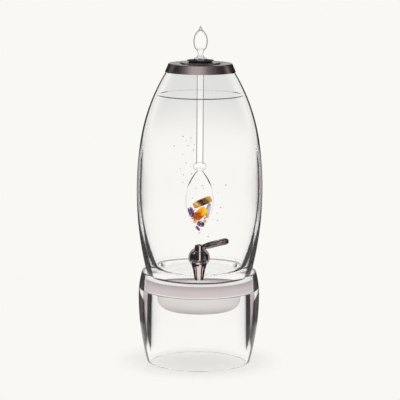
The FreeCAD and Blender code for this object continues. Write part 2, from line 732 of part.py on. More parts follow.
long_edges = [
    f"Edge{number}"
    for number, edge in enumerate(arm.Shape.Edges, start=1)
    if abs(edge.tangentAt(edge.FirstParameter).cross(Vector(0, 1, 0)).dot(along)) < 0.999
    and edge.BoundBox.Center.x > value("neck_radius") * 0.5
]
arm_round = tap_lever.newObject("PartDesign::Fillet", "paddle_edges")
arm_round.Base = (arm, long_edges)
bind(arm_round, Radius="lever_round")
doc.recompute()
turned_feature(
    tap_lever,
    "hub",
    [
        ("0", HUB_BASE),
        ("neck_radius - 0.4", HUB_BASE),
        ("neck_radius", f"{HUB_BASE} + 0.4"),
        ("neck_radius", f"{HUB_TOP} - 0.6"),
        ("neck_radius - 0.6", HUB_TOP),
        ("0", HUB_TOP),
    ],
)
turned_feature(
    tap_lever,
    "screw_seat",
    [
        ("0", STEM_TOP),
        ("screw_head_radius + 0.1", STEM_TOP),
        ("screw_head_radius + 0.1", f"{HUB_TOP} + 4"),
        ("0", f"{HUB_TOP} + 4"),
    ],
    kind="Groove",
)
socket_sketch = new_sketch(tap_lever, "socket_outline", "XY_Plane")
socket_sketch.setExpression("AttachmentOffset.Base.z", formula(f"{HUB_BASE} - 1"))
outline(socket_sketch, [(f"{x} * 1.02", f"{y} * 1.02") for x, y in SQUARE])
socket = tap_lever.newObject("PartDesign::Pocket", "socket")
socket.Profile = socket_sketch
socket.Reversed = True
bind(socket, Length="hub_height + 2")
doc.recompute()
place(tap_lever, y=f"-{SPOUT_AXIS}", z=TAP_LEVEL)

# The domed screw holds the hub on the stem; its dome is part of a ball
SCREW_DOME = "((screw_head_radius ^ 2 + screw_head_height ^ 2) / (2 * screw_head_height))"
tap_lever_screw = turned(
    "tap_lever_screw",
    [
        ("0", f"{STEM_TOP} - screw_length + 0.5"),
        ("screw_radius - 0.05", f"{STEM_TOP} - screw_length + 0.5"),
        ("screw_radius - 0.05", STEM_TOP),
        ("screw_head_radius", STEM_TOP),
        ("screw_head_radius", f"{HUB_TOP} - 0.6", SCREW_DOME),
        ("0", f"{HUB_TOP} - 0.6 + screw_head_height"),
    ],
)
place(tap_lever_screw, y=f"-{SPOUT_AXIS}", z=TAP_LEVEL)

# Lid: spun sheet with a sloping skirt, a flat top and a raised ring round the bush
LID_TOP = "(seal_height + sheet)"
BOSS_TOP = f"({LID_TOP} + boss_height)"
lid_shell = turned(
    "lid_shell",
    [
        ("skirt_radius - sheet * 1.1", "-skirt_drop"),
        ("skirt_radius", "-skirt_drop"),
        ("lid_top_radius", LID_TOP),
        ("boss_radius", LID_TOP),
        ("boss_radius - boss_height", BOSS_TOP),
        ("bush_hole", BOSS_TOP),
        ("bush_hole", f"{BOSS_TOP} - sheet"),
        ("boss_radius - boss_height - sheet * 0.6", f"{BOSS_TOP} - sheet"),
        ("boss_radius - sheet * 0.6", "seal_height"),
        ("lid_top_radius - sheet * 0.6", "seal_height"),
    ],
)
round_rings(lid_shell, "lid_edge", "lid_round", ("lid_top_radius", LID_TOP))
place(lid_shell, z=RIM)

# Silicone seal: a flat ring between glass and steel, and a lip that centres it in the mouth
lid_seal = turned(
    "lid_seal",
    [
        (f"{MOUTH} - seal_play - 2.2", "-seal_lip"),
        (f"{MOUTH} - seal_play", "-seal_lip"),
        (f"{MOUTH} - seal_play", "0"),
        (f"{MOUTH} - seal_play - 2.2 + seal_width", "0"),
        (f"{MOUTH} - seal_play - 2.2 + seal_width", "seal_height"),
        (f"{MOUTH} - seal_play - 2.2", "seal_height"),
    ],
)
place(lid_seal, z=RIM)

# Black rubber bush: it grips the sheet round the hole and carries the vial
BUSH_TOP = f"({BOSS_TOP} + bush_rise)"
vial_bush = turned(
    "vial_bush",
    [
        ("tube_radius + tube_play", f"{BOSS_TOP} - sheet - bush_grip"),
        ("bush_hole + 1", f"{BOSS_TOP} - sheet - bush_grip"),
        ("bush_hole + 2", f"{BOSS_TOP} - sheet"),
        ("bush_hole - 0.1", f"{BOSS_TOP} - sheet"),
        ("bush_hole - 0.1", BOSS_TOP),
        ("bush_waist_radius", BOSS_TOP),
        ("bush_waist_radius", f"{BOSS_TOP} + bush_rise * 0.2"),
        ("bush_top_radius", f"{BUSH_TOP} - bush_rise * 0.3"),
        ("bush_top_radius", f"{BUSH_TOP} - bush_rise * 0.12"),
        ("bush_top_radius - bush_rise * 0.12", BUSH_TOP),
        ("tube_radius + tube_play", BUSH_TOP),
    ],
)
place(vial_bush, z=RIM)

# Finial: a hollow glass flame that stands on the bush and plugs the tube
VIAL_TOP = f"({RIM} + {BUSH_TOP})"
finial = turned(
    "finial",
    [
        ("0", "-spigot_length"),
        ("tube_radius - tube_wall - tube_play", "-spigot_length"),
        ("tube_radius - tube_wall - tube_play", "0"),
        ("finial_foot", "0"),
        ("finial_foot", "finial_height * 0.06", "-finial_foot * 0.8"),
        ("finial_neck", "finial_height * 0.15"),
        ("finial_neck", "finial_height * 0.2", "-finial_bulb * 0.8"),
        ("finial_bulb * 0.78", "finial_height * 0.32", "finial_bulb * 2.6"),
        ("finial_bulb", "finial_height * 0.555", "finial_bulb * 1.9"),
        ("finial_bulb * 0.3", "finial_height * 0.86"),
        ("0", "finial_height"),
    ],
)
turned_feature(
    finial,
    "flame_hollow",
    [
        ("0", "finial_height * 0.29"),
        ("finial_bulb * 0.78 - finial_wall", "finial_height * 0.34", "finial_bulb * 2.6"),
        ("finial_bulb - finial_wall", "finial_height * 0.555", "finial_bulb * 1.9"),
        ("finial_bulb * 0.2", "finial_height * 0.81"),
        ("0", "finial_height * 0.83"),
    ],
    kind="Groove",
)
place(finial, z=VIAL_TOP)

# Vial tube, drawn from its seam with the vial: spigot, collar and a long hollow stem
SEAM = f"({VIAL_TOP} - seam_depth)"
TUBE_BORE = "(tube_radius - tube_wall)"
TUBE_TOP = "(seam_depth - 0.4)"
COLLAR_FOOT = "(collar_length * 0.12)"
COLLAR_RISE = "(collar_bulge - (neck_glass + tube_radius) / 2)"
COLLAR_CHORD = f"((collar_length - {COLLAR_FOOT}) ^ 2 + (tube_radius - neck_glass) ^ 2)"
COLLAR_BOW = f"(({COLLAR_RISE} ^ 2 + {COLLAR_CHORD} / 4) / (2 * {COLLAR_RISE}))"
vial_tube = turned(
    "vial_tube",
    [
        ("0", "-spigot_length"),
        ("neck_glass - drop_wall + 0.3", "-spigot_length"),
        ("neck_glass - drop_wall + 0.3", "0"),
        ("neck_glass", "0"),
        ("neck_glass", COLLAR_FOOT, COLLAR_BOW),
        ("tube_radius", "collar_length"),
        ("tube_radius", TUBE_TOP),
        (TUBE_BORE, TUBE_TOP),
        (TUBE_BORE, "collar_length + 3"),
        ("0", "collar_length + 2"),
    ],
)
place(vial_tube, z=SEAM)

# Gem vial: a long glass drop whose neck takes the tube's spigot
UPPER_RISE = "(drop_radius - neck_glass)"
DROP_UPPER_BOW = f"(({UPPER_RISE} ^ 2 + drop_belly ^ 2) / (2 * {UPPER_RISE}))"
DROP_UPPER = (f"(drop_radius - {DROP_UPPER_BOW})", "-drop_belly", DROP_UPPER_BOW)
TAPER_RISE = "((drop_length - drop_belly) / 2)"
DROP_LOWER = side_arc("drop_radius", "-drop_belly", TAPER_RISE, "drop_radius * drop_taper")
UPPER_INSIDE_BOW = f"({DROP_UPPER_BOW} - drop_wall)"
DROP_INSIDE = (f"(drop_radius - {DROP_UPPER_BOW})", "-drop_belly", UPPER_INSIDE_BOW)
LOWER_INSIDE_BOW = f"({DROP_LOWER[2]} - drop_wall)"
DROP_LOWER_INSIDE = (DROP_LOWER[0], "-drop_belly", LOWER_INSIDE_BOW)
TAPER_START = f"(-drop_belly - {TAPER_RISE})"
NECK_BORE = "(neck_glass - drop_wall + 0.4)"
gem_vial = turned(
    "gem_vial",
    [
        ("0", "-drop_length"),
        (across_arc(DROP_LOWER, TAPER_START), TAPER_START, DROP_LOWER[2]),
        ("drop_radius", "-drop_belly", DROP_UPPER_BOW),
        ("neck_glass", "0"),
        (NECK_BORE, "0"),
        (NECK_BORE, "-spigot_length"),
        (across_arc(DROP_INSIDE, "(-spigot_length)"), "-spigot_length", f"-{UPPER_INSIDE_BOW}"),
        ("drop_radius - drop_wall", "-drop_belly", f"-{LOWER_INSIDE_BOW}"),
        (across_arc(DROP_LOWER_INSIDE, TAPER_START), TAPER_START),
        ("0", "drop_wall * 3 - drop_length"),
    ],
)
place(gem_vial, z=SEAM)

# Stones in the vial: each is a block rounded by an egg, as tumbled stones are.
# Across, depth, length and thickness are shares of the room inside the vial's widest place,
# the height over the tip and the stone's own height are shares of the vial's length,
# and the lean is the turn about the line of sight from the front.
STONES = {
    "banded_stone": [(0.214, -0.043, 0.546, 1.499, 0.750, 0.091, 24)],
    "orange_stone": [(0.075, -0.332, 0.382, 1.167, 0.632, 0.125, 45)],
    "purple_stones": [
        (-0.621, 0.043, 0.391, 0.396, 0.482, 0.151, 17),
        (0.096, 0.000, 0.212, 0.568, 0.418, 0.081, -18),
        (-0.107, -0.021, 0.146, 0.482, 0.236, 0.038, -46),
    ],
    "pale_stone": [(0.653, 0.182, 0.420, 0.321, 0.514, 0.217, -13)],
    "stone_chips": [
        (0.407, 0.000, 0.257, 0.246, 0.203, 0.030, -14),
        (0.589, -0.203, 0.335, 0.193, 0.225, 0.055, -9),
        (-0.332, -0.214, 0.255, 0.225, 0.214, 0.049, 18),
    ],
}
STONE_ROOM = "(drop_radius - drop_wall)"
EGG_SHARE = 0.62


def stone(name, across, deep, up, long, thick, tall, lean):
    """One pebble: a block cut to an egg whose half axes are a share of the block's sides."""
    block = doc.addObject("Part::Box", name + "_block")
    egg = doc.addObject("Part::Ellipsoid", name + "_egg")
    sides = (f"{STONE_ROOM} * {long}", f"{STONE_ROOM} * {thick}", f"drop_length * {tall}")
    bind(block, Length=sides[0], Width=sides[1], Height=sides[2])
    place(block, *(f"-{side} / 2" for side in sides))
    rounds = [f"{side} * {EGG_SHARE}" for side in sides]
    bind(egg, Radius1=rounds[2], Radius2=rounds[0], Radius3=rounds[1])
    pebble = doc.addObject("Part::Common", name)
    pebble.Base, pebble.Tool = block, egg
    place(
        pebble,
        f"{STONE_ROOM} * {across}",
        f"{STONE_ROOM} * {deep}",
        f"{SEAM} - drop_length + drop_length * {up}",
        turn=Rotation(Vector(0, 1, 0), -lean),
    )
    return pebble


stones = []
for label, group in STONES.items():
    if len(group) == 1:
        piece = stone(label, *group[0])
    else:
        pebbles = [stone(f"{label}_{number}", *facts) for number, facts in enumerate(group, start=1)]
        piece = doc.addObject("Part::Compound", label)
        piece.Links = pebbles
    piece.Label = label
    stones.append(piece)

PIECES = [
    stand_glass,
    ledge_pad,
    cooling_dish,
    cooling_dish_cover,
    vessel_pad,
    vessel_glass,
    tap_front_gasket,
    tap_rear_gasket,
    tap_flange,
    tap_body,
    tap_rear_washer,
    tap_nut,
    tap_plug,
    tap_plug_rings,
    tap_bonnet,
    tap_lever,
    tap_lever_screw,
    lid_shell,
    lid_seal,
    vial_bush,
    finial,
    vial_tube,
    gem_vial,
    *stones,
]

doc.recompute()
for thing in doc.Objects:
    if {"Invalid", "Error"} & set(thing.State):
        raise RuntimeError(f"{thing.Label} did not build: {thing.State}")
for piece in PIECES:
    if piece.Shape.isNull() or not piece.Shape.isValid():
        raise RuntimeError(f"{piece.Label} has no valid shape")

os.makedirs("parts", exist_ok=True)
for piece in PIECES:
    piece.Shape.exportStep(f"parts/{piece.Label}.step")
    print(f"{piece.Label}: {len(piece.Shape.Solids)} solid(s), {piece.Shape.Volume / 1000:.2f} cm3")
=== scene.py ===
# %% [markdown]
# # A glass water dispenser
#
# The dispenser is a barrel of clear glass with a tap, which stands in a short thick glass stand.
# A frosted dish shows through the stand. A steel lid carries a long glass tube, and at its end
# a drop-shaped glass vial with stones hangs in the water.
#
# The CAD model is loaded first. It is a fixed frame: every piece made here is put in the same
# place as the CAD part it stands for, and rides on the same body.

import math

import bpy
import numpy as np
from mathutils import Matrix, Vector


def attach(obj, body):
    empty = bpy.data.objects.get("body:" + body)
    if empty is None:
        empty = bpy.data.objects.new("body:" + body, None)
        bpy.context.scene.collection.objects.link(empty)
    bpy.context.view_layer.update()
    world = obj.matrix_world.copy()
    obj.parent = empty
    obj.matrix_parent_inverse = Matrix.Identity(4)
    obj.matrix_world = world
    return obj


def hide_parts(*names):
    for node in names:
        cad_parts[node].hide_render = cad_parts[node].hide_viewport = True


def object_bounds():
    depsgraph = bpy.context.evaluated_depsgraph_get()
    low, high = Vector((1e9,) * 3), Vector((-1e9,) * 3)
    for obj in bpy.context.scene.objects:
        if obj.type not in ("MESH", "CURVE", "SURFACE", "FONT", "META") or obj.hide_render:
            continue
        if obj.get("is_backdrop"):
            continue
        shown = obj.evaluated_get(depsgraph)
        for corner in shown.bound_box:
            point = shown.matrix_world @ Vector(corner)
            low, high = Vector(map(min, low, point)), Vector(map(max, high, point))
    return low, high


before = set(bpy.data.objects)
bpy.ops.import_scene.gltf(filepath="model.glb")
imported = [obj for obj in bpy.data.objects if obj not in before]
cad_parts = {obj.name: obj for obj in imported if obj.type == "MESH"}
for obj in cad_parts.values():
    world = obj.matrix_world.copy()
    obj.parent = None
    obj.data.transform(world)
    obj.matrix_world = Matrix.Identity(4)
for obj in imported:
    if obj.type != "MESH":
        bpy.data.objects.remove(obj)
cad_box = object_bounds()

# %% [markdown]
# ## Camera
#
# The photograph was taken from far away with a long lens, from a little above the lid, so the
# ellipses are flat and the sides nearly parallel. Lens, distance and height come from the
# ellipses of foot and waterline. The camera is rolled a little, as the vessel leans there.

# %% The camera
CAMERA_PLACE = (0.0008, -3.273, 0.805)
LOOK_DOWN = math.radians(9.22)
CAMERA_ROLL = math.radians(0.39)
LENS_LENGTH = 178.3
SENSOR_WIDTH = 36.0

camera = bpy.data.objects.new("camera", bpy.data.cameras.new("camera"))
camera.data.sensor_width = SENSOR_WIDTH
camera.data.lens = LENS_LENGTH
camera.location = CAMERA_PLACE
camera.rotation_mode = "ZXY"
camera.rotation_euler = (math.radians(90) - LOOK_DOWN, 0, CAMERA_ROLL)
bpy.context.scene.collection.objects.link(camera)
bpy.context.scene.camera = camera
print("camera at", CAMERA_PLACE, "lens", LENS_LENGTH)

# %% [markdown]
# ## Shader nodes in a few words
#
# Every finish and the studio are built from shader nodes. These helpers add a node, set its
# sockets and link others in, so that a finish reads as a short list.


# %% Helpers for shader nodes
def fill(tree, target, **sockets):
    """Write numbers or colours into a node's sockets, or link outputs to them; _0, _1 and so on
    name a socket by its place."""
    for name, value in sockets.items():
        socket = target.inputs[int(name[1:]) if name[0] == "_" else name.replace("_", " ")]
        if isinstance(value, bpy.types.NodeSocket):
            tree.links.new(value, socket)
        elif isinstance(value, tuple) and len(value) == 3 and socket.type == "RGBA":
            socket.default_value = (*value, 1)
        else:
            socket.default_value = value


def node(tree, kind, settings=(), **sockets):
    """Add a node with its own settings, and fill its sockets."""
    new = tree.nodes.new("ShaderNode" + kind)
    for name, value in dict(settings).items():
        setattr(new, name, value)
    fill(tree, new, **sockets)
    return new


# %% Helpers for numbers
def maths(tree, operation, *values):
    """One step of arithmetic on numbers or outputs."""
    sockets = {f"_{number}": value for number, value in enumerate(values)}
    return node(tree, "Math", {"operation": operation}, **sockets).outputs[0]


def chain(tree, operation, values):
    """One operation on the first two values, then on the result and the next, and so on."""
    result, *others = values
    for value in others:
        result = maths(tree, operation, result, value)
    return result


def product(tree, *values):
    """All values multiplied."""
    return chain(tree, "MULTIPLY", values)


def total(tree, *values):
    """All values added."""
    return chain(tree, "ADD", values)


def some(tree, count):
    """1 where a count is at least one, and 0 where it is none."""
    return maths(tree, "GREATER_THAN", count, 0.5)


def share_of(tree, value, low, high, settings=()):
    """How far a value has come: (value - low) / (high - low), kept between 0 and 1."""
    return node(tree, "MapRange", settings, Value=value, From_Min=low, From_Max=high).outputs[0]


def step_up(tree, value, low, high):
    """0 below low, 1 above high, and a soft step between. It falls where high is below low."""
    return share_of(tree, value, low, high, {"interpolation_type": "SMOOTHSTEP"})


def between(tree, share, low, high):
    """A number that goes from low to high as the share goes from 0 to 1."""
    return node(tree, "MapRange", Value=share, To_Min=low, To_Max=high).outputs[0]


# %% Helpers for places and colours
def here(tree):
    """The place on the piece, in metres."""
    return node(tree, "TexCoord").outputs["Object"]


def split(tree, vector):
    """The three parts of a vector."""
    return node(tree, "SeparateXYZ", _0=vector).outputs


def joined(tree, x, y, z):
    """The vector with three given parts."""
    return node(tree, "CombineXYZ", X=x, Y=y, Z=z).outputs[0]


def stretched(tree, parts, scales):
    """The vector whose parts are each multiplied by a scale of their own."""
    return joined(tree, *[product(tree, part, scale) for part, scale in zip(parts, scales)])


def reach_of(tree, vector):
    """How long a vector is."""
    return node(tree, "VectorMath", {"operation": "LENGTH"}, _0=vector).outputs["Value"]


def scaled(tree, colour, factor):
    """A colour times a number."""
    return node(tree, "VectorMath", {"operation": "SCALE"}, _0=colour, Scale=factor).outputs[0]


def blend(tree, share, first, second):
    """The first colour where the share is 0, and the second where it is 1. Among the node's
    sockets, 6 and 7 and the output 2 are those for colours."""
    return node(tree, "Mix", {"data_type": "RGBA"}, _0=share, _6=first, _7=second).outputs[2]


def colours(tree, value, *stops):
    """A colour ramp; each stop is (place, colour)."""
    ramp = node(tree, "ValToRGB", Fac=value)
    while len(ramp.color_ramp.elements) < len(stops):
        ramp.color_ramp.elements.new(0.5)
    for element, (place, shade) in zip(ramp.color_ramp.elements, stops):
        element.position = place
        element.color = (*shade, 1)
    return ramp.outputs[0]


# %% [markdown]
# ## The studio
#
# Clear glass and polished metal are drawn by what they bend and mirror, so the studio is a world
# with several faces. What the camera sees directly is the pale backdrop. Seen straight through
# glass, the backdrop holds a soft grey card with a gap behind the finial. Light that reaches a
# dull surface is plain and even. What metal mirrors is a dim room with a few soft pale panels. A
# ray that leaves glass after it was mirrored inside sees a paler room with a bright horizon.

# %% The studio light
BACKDROP = (0.947, 0.939, 0.905)
GREY_CARD = (0.74, 0.74, 0.73)
PLAIN_LIGHT = (1.0, 1.0, 1.0)
DIM_ROOM = (0.030, 0.026, 0.028)
DULL_WALL = (0.34, 0.305, 0.305)
PALE_PANEL = (1.18, 1.04, 1.04)
DARK_WALL = (0.030, 0.025, 0.027)
ROSE_WALL = (0.50, 0.43, 0.445)
LOW_WALL = (0.80, 0.77, 0.78)

world = bpy.data.worlds.new("studio")
world.use_nodes = True
world.cycles.sampling_method = "NONE"
bpy.context.scene.world = world
sky = world.node_tree
sky.nodes.clear()
ray = node(sky, "LightPath").outputs
aside, ahead, rise = split(sky, node(sky, "TexCoord").outputs["Generated"])
reach = reach_of(sky, joined(sky, aside, ahead, 0.0))


def panel(azimuth, half_width, softness):
    """1 round an azimuth counted from the front to the right, 0 elsewhere, with soft edges."""
    turn = math.radians(azimuth)
    along = total(sky, product(sky, aside, math.sin(turn)), product(sky, ahead, -math.cos(turn)))
    outer = math.cos(math.radians(half_width + softness))
    inner = math.cos(math.radians(half_width - softness))
    return step_up(sky, maths(sky, "DIVIDE", along, reach), outer, inner)


def low_panel(azimuth, half_width, softness, low, high, soft):
    """A panel only where the direction's rise lies between low and high, with soft edges."""
    above = step_up(sky, rise, low - soft, low + soft)
    below = step_up(sky, rise, high + soft, high - soft)
    return product(sky, panel(azimuth, half_width, softness), product(sky, above, below))


def brightest(*shares):
    """The largest of several shares."""
    return chain(sky, "MAXIMUM", shares)


# %% The rooms that metal and glass mirror
# A panel is its azimuth, half width and softness in degrees, then its lowest and highest rise
# and the softness there. A soft step goes from the first to the second value of an edge.
METAL_PANELS = [
    (-5, 36, 10, -0.85, -0.38, 0.06),
    (18, 17, 7, -0.85, 0.02, 0.04),
    (-15, 23, 22, 0.34, 0.95, 0.06),
    (112, 4, 3, 0.30, 0.95, 0.05),
    (-124, 4, 3, 0.30, 0.95, 0.05),
    (72, 4, 3, -0.90, -0.40, 0.05),
    (-70, 3, 3, -0.90, -0.40, 0.05),
    (180, 14, 5, 0.07, 0.20, 0.02),
]
DULL_PANEL = (-8, 62, 30, 0.34, 0.95, 0.06)
GLASS_PANELS = [(0, 15, 6), (180, 30, 4), (90, 15, 6), (-90, 15, 6)]
HORIZON_EDGE = (-0.13, -0.09)
LOW_WALL_EDGE = (-0.20, -0.28)

metal_panels = brightest(*[low_panel(*place) for place in METAL_PANELS])
dull_wall = blend(sky, low_panel(*DULL_PANEL), DIM_ROOM, DULL_WALL)
metal_room = blend(sky, metal_panels, dull_wall, PALE_PANEL)
glass_panels = brightest(*[panel(*place) for place in GLASS_PANELS])
glass_room = blend(sky, glass_panels, DARK_WALL, ROSE_WALL)
glass_room = blend(sky, step_up(sky, rise, *HORIZON_EDGE), glass_room, BACKDROP)
glass_room = blend(sky, step_up(sky, rise, *LOW_WALL_EDGE), glass_room, LOW_WALL)
print("panels:", len(METAL_PANELS), "for metal,", len(GLASS_PANELS), "for glass")

# %% The card, and which ray sees which face
CARD_BOTTOM, CARD_TOP, CARD_SIDES = (-0.146, -0.106), (0.12, 0.02), (0.150, 0.030)
GAP_BOTTOM, GAP_SIDES = (-0.0925, -0.0955), (0.020, 0.036)

sideways = maths(sky, "ABSOLUTE", aside)
beside_gap = brightest(step_up(sky, rise, *GAP_BOTTOM), step_up(sky, sideways, *GAP_SIDES))
card = product(
    sky, step_up(sky, rise, *CARD_BOTTOM), step_up(sky, rise, *CARD_TOP), beside_gap,
    step_up(sky, sideways, *CARD_SIDES),
)
inside_glass = some(sky, ray["Transmission Depth"])
shade = blend(sky, inside_glass, PLAIN_LIGHT, blend(sky, card, BACKDROP, GREY_CARD))
leaving_glass = product(sky, inside_glass, ray["Is Transmission Ray"])
room = blend(sky, leaving_glass, metal_room, glass_room)
shade = blend(sky, some(sky, ray["Glossy Depth"]), shade, room)
shade = blend(sky, some(sky, ray["Diffuse Depth"]), shade, PLAIN_LIGHT)
shade = blend(sky, ray["Is Camera Ray"], shade, BACKDROP)
node(sky, "OutputWorld", Surface=node(sky, "Background", Color=shade).outputs[0])
print("studio nodes:", len(sky.nodes))

# %% [markdown]
# ## Surfaces from arrays
#
# Nearly every piece here is turned on a lathe: a profile that walks once round the wall, swept
# round the axis. A profile is a short list of corners. Each may start an arc and may be rounded.
# The helpers turn the list into points and a closed mesh, in millimetres until the end.


# %% Profiles
MM = 0.001
FINE_STEP = 4.0
ARC_STEP = math.radians(3)
ROUNDING_STEP = math.radians(11)
LEAST_TURN = math.radians(2)
TRIM_SHARE = 0.45
GUARD, GUARD_SHARE = 0.4, 1 / 8
TINY = 1e-3


def run(start, end, bow):
    """Length of one run of a profile, and a function from the way along it to its point.
    A run is a straight line, or an arc of radius bow: round the left side for a positive bow,
    point = centre + radius * (cos a, sin a), where a grows evenly with the way."""
    start, end = np.array([start, end], float)
    chord = end - start
    span = np.hypot(*chord)
    if bow == 0:
        return span, lambda way: start + np.outer(way, chord / span)
    side = np.sign(bow)
    left = np.array([-chord[1], chord[0]]) / span
    centre = (start + end) / 2 + side * left * math.sqrt(max(bow**2 - span**2 / 4, 0))
    first = math.atan2(*(start - centre)[::-1])

    def point(way):
        angle = first + side * np.asarray(way) / abs(bow)
        return centre + abs(bow) * np.stack([np.cos(angle), np.sin(angle)], axis=-1)

    return abs(bow) * 2 * math.asin(min(span / abs(2 * bow), 1)), point


def profile(corners, edge=0.3):
    """Points of a profile from its corners (radius, height, bow, rounding).
    A rounding is a smooth cubic whose handles are 4/3 tan(turn / 4) of its radius. It trims at
    most a share of each run. A point just inside each end of a run guards the smooth shading."""
    corners = [(*corner, *(0, None)[len(corner) - 2 :]) for corner in corners]
    closed = corners[0][0] > 0
    ends = corners[1:] + corners[:1] if closed else corners[1:]
    runs = [run(a[:2], b[:2], a[2]) for a, b in zip(corners, ends)]
    trims = np.zeros((len(runs), 2))
    bends = {}
    for after in range(0 if closed else 1, len(runs)):
        before = after - 1
        length = runs[before][0]
        coming = np.diff(runs[before][1](np.array([length - TINY, length])), axis=0)[0]
        going = np.diff(runs[after][1](np.array([0, TINY])), axis=0)[0]
        turn = abs(math.atan2(coming[0] * going[1] - coming[1] * going[0], coming @ going))
        radius = edge if corners[after][3] is None else corners[after][3]
        trim = min(radius * math.tan(turn / 2), TRIM_SHARE * min(length, runs[after][0]))
        if turn > LEAST_TURN and radius > 0:
            trims[before, 1] = trims[after, 0] = trim
            bends[after] = (turn, trim / math.tan(turn / 2))
    points = []
    for number, (length, point) in enumerate(runs):
        low, high = trims[number, 0], length - trims[number, 1]
        bow = abs(corners[number][2])
        step = min(FINE_STEP, bow * ARC_STEP) if bow else FINE_STEP
        way = np.linspace(low, high, max(2, int((high - low) / step) + 2))
        guard = min(GUARD, GUARD_SHARE * (high - low))
        way = np.unique(np.concatenate([way, [low + guard, high - guard]]))
        if number in bends:
            turn, radius = bends[number]
            before = runs[number - 1]
            start = before[0] - trims[number - 1, 1]
            handle = radius * 4 / 3 * math.tan(turn / 4)
            p0, p1 = before[1](np.array([start - TINY, start]))[::-1]
            p3, p2 = point(np.array([low, low + TINY]))
            p1 = p0 + (p0 - p1) / TINY * handle
            p2 = p3 - (p2 - p3) / TINY * handle
            t = np.linspace(0, 1, max(4, int(turn / ROUNDING_STEP) + 1))[:-1, None]
            s = 1 - t
            points.append(s**3 * p0 + 3 * t * s**2 * p1 + 3 * t**2 * s * p2 + t**3 * p3)
        points.append(point(way[:-1]))
    if not closed:
        points.append(np.array([corners[-1][:2]], float))
    return np.vstack(points)


def side_bow(rise, taper):
    """Radius of the arc that starts upright and moves in by the taper over the rise."""
    return (rise**2 + taper**2) / (2 * taper)


def closing_bow(edge, slope, end):
    """Radius of the arc that goes on smoothly from an edge point, where the outward direction
    is slope, to an end point: half the distance squared over the way inward."""
    edge, slope, end = map(np.array, (edge, slope, end))
    return float((end - edge) @ (end - edge) / (2 * (edge - end) @ slope))


# %% Meshes
def woven(rows, start=None, end=None, outward=0.0):
    """Points, faces and the outward share of a surface from rows of points that close round.
    Two poles shut it, or without poles the last row joins the first. Rows go up while points
    go round to the left, so that the faces look outwards."""
    count, turns = rows.shape[:2]
    points = rows.reshape(-1, 3)
    shares = (np.zeros((count, turns)) + np.reshape(outward, (-1, 1))).ravel()
    i, j = np.meshgrid(np.arange(count - (start is not None)), np.arange(turns), indexing="ij")
    up, beside = (i + 1) % count * turns, (j + 1) % turns
    quads = np.stack([i * turns + j, i * turns + beside, up + beside, up + j], axis=-1)
    faces = quads.reshape(-1, 4).tolist()
    if start is not None:
        ring, step = np.arange(turns), (np.arange(turns) + 1) % turns
        low, high = len(points), len(points) + 1
        faces += np.stack([ring * 0 + low, step, ring], axis=-1).tolist()
        top = (count - 1) * turns
        faces += np.stack([ring * 0 + high, top + ring, top + step], axis=-1).tolist()
        points = np.vstack([points, start, end])
        shares = np.concatenate([shares, [0, 0]])
    return points, faces, shares


def turned(outline, lift=0.0, turns=192):
    """A turned surface: (r cos t, r sin t, z + lift) for each profile point and each angle t.
    The outward share is the radial part of the surface's outward direction, dz / length."""
    poles = outline[0, 0] < 1e-9
    ahead, behind = np.roll(outline, -1, axis=0), np.roll(outline, 1, axis=0)
    outward = (ahead - behind)[:, 1] / np.maximum(np.hypot(*(ahead - behind).T), 1e-9)
    inner = slice(1, -1) if poles else slice(None)
    angle = np.linspace(0, 2 * np.pi, turns, endpoint=False)
    r, z = outline[inner, :1], outline[inner, 1:] + lift
    rows = np.stack([r * np.cos(angle), r * np.sin(angle), z + 0 * angle], axis=-1)
    if not poles:
        return woven(rows, outward=outward[inner])
    bottom, top = [[0, 0, outline[0, 1] + lift]], [[0, 0, outline[-1, 1] + lift]]
    return woven(rows, bottom, top, outward[inner])


def moved(surface, shift):
    """A surface carried along by a shift."""
    points, faces, shares = surface
    return points + shift, faces, shares


def ball_ways(rings, turns):
    """Directions from a ball's middle to its points: (cos a sin b, sin a sin b, -cos b)."""
    b = np.linspace(0, np.pi, rings + 1)[:, None]
    a = np.linspace(0, 2 * np.pi, turns, endpoint=False)
    return np.stack([np.cos(a) * np.sin(b), np.sin(a) * np.sin(b), -np.cos(b) + 0 * a], axis=-1)


# %% Pieces
def new_piece(name, *surfaces, material=None, smooth=True):
    """One mesh object at the origin from surfaces in millimetres."""
    points = np.vstack([surface[0] for surface in surfaces])
    faces, offset = [], 0
    for surface_points, surface_faces, _ in surfaces:
        faces += [[corner + offset for corner in face] for face in surface_faces]
        offset += len(surface_points)
    mesh = bpy.data.meshes.new(name)
    mesh.from_pydata((points * MM).tolist(), [], faces)
    outward = mesh.attributes.new("outward", "FLOAT", "POINT")
    outward.data.foreach_set("value", np.concatenate([surface[2] for surface in surfaces]))
    mesh.validate()
    mesh.shade_smooth() if smooth else mesh.shade_flat()
    piece = bpy.data.objects.new(name, mesh)
    bpy.context.scene.collection.objects.link(piece)
    if material:
        mesh.materials.append(material)
    print(f"{name}: {len(points)} points, {np.ptp(points, axis=0).round(1)} mm")
    return piece


def stand_in(piece, body, slot, *nodes):
    """Let a piece ride on its body and stand for its CAD nodes."""
    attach(piece, body)
    if nodes:
        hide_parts(*nodes)


# %% [markdown]
# ## The table
#
# A pale round table top catches the soft shadow. Near the foot it is mostly paint, with a little
# plain glow of the same colour, so that the shadow stays soft, and farther out it is all glow, as
# the photograph's backdrop is. Mirrored rays pass through its far part, so that the glass walls
# show the dim room there.

# %% The table top
TABLE_RADIUS = 1600
TABLE_CORNERS = 96
TABLE_DROP = 0.0002
FAR_EDGE = (0.25, 0.325)
SHADOW_EDGE = (0.095, 0.155)
SHADOW_EVENNESS = 0.10

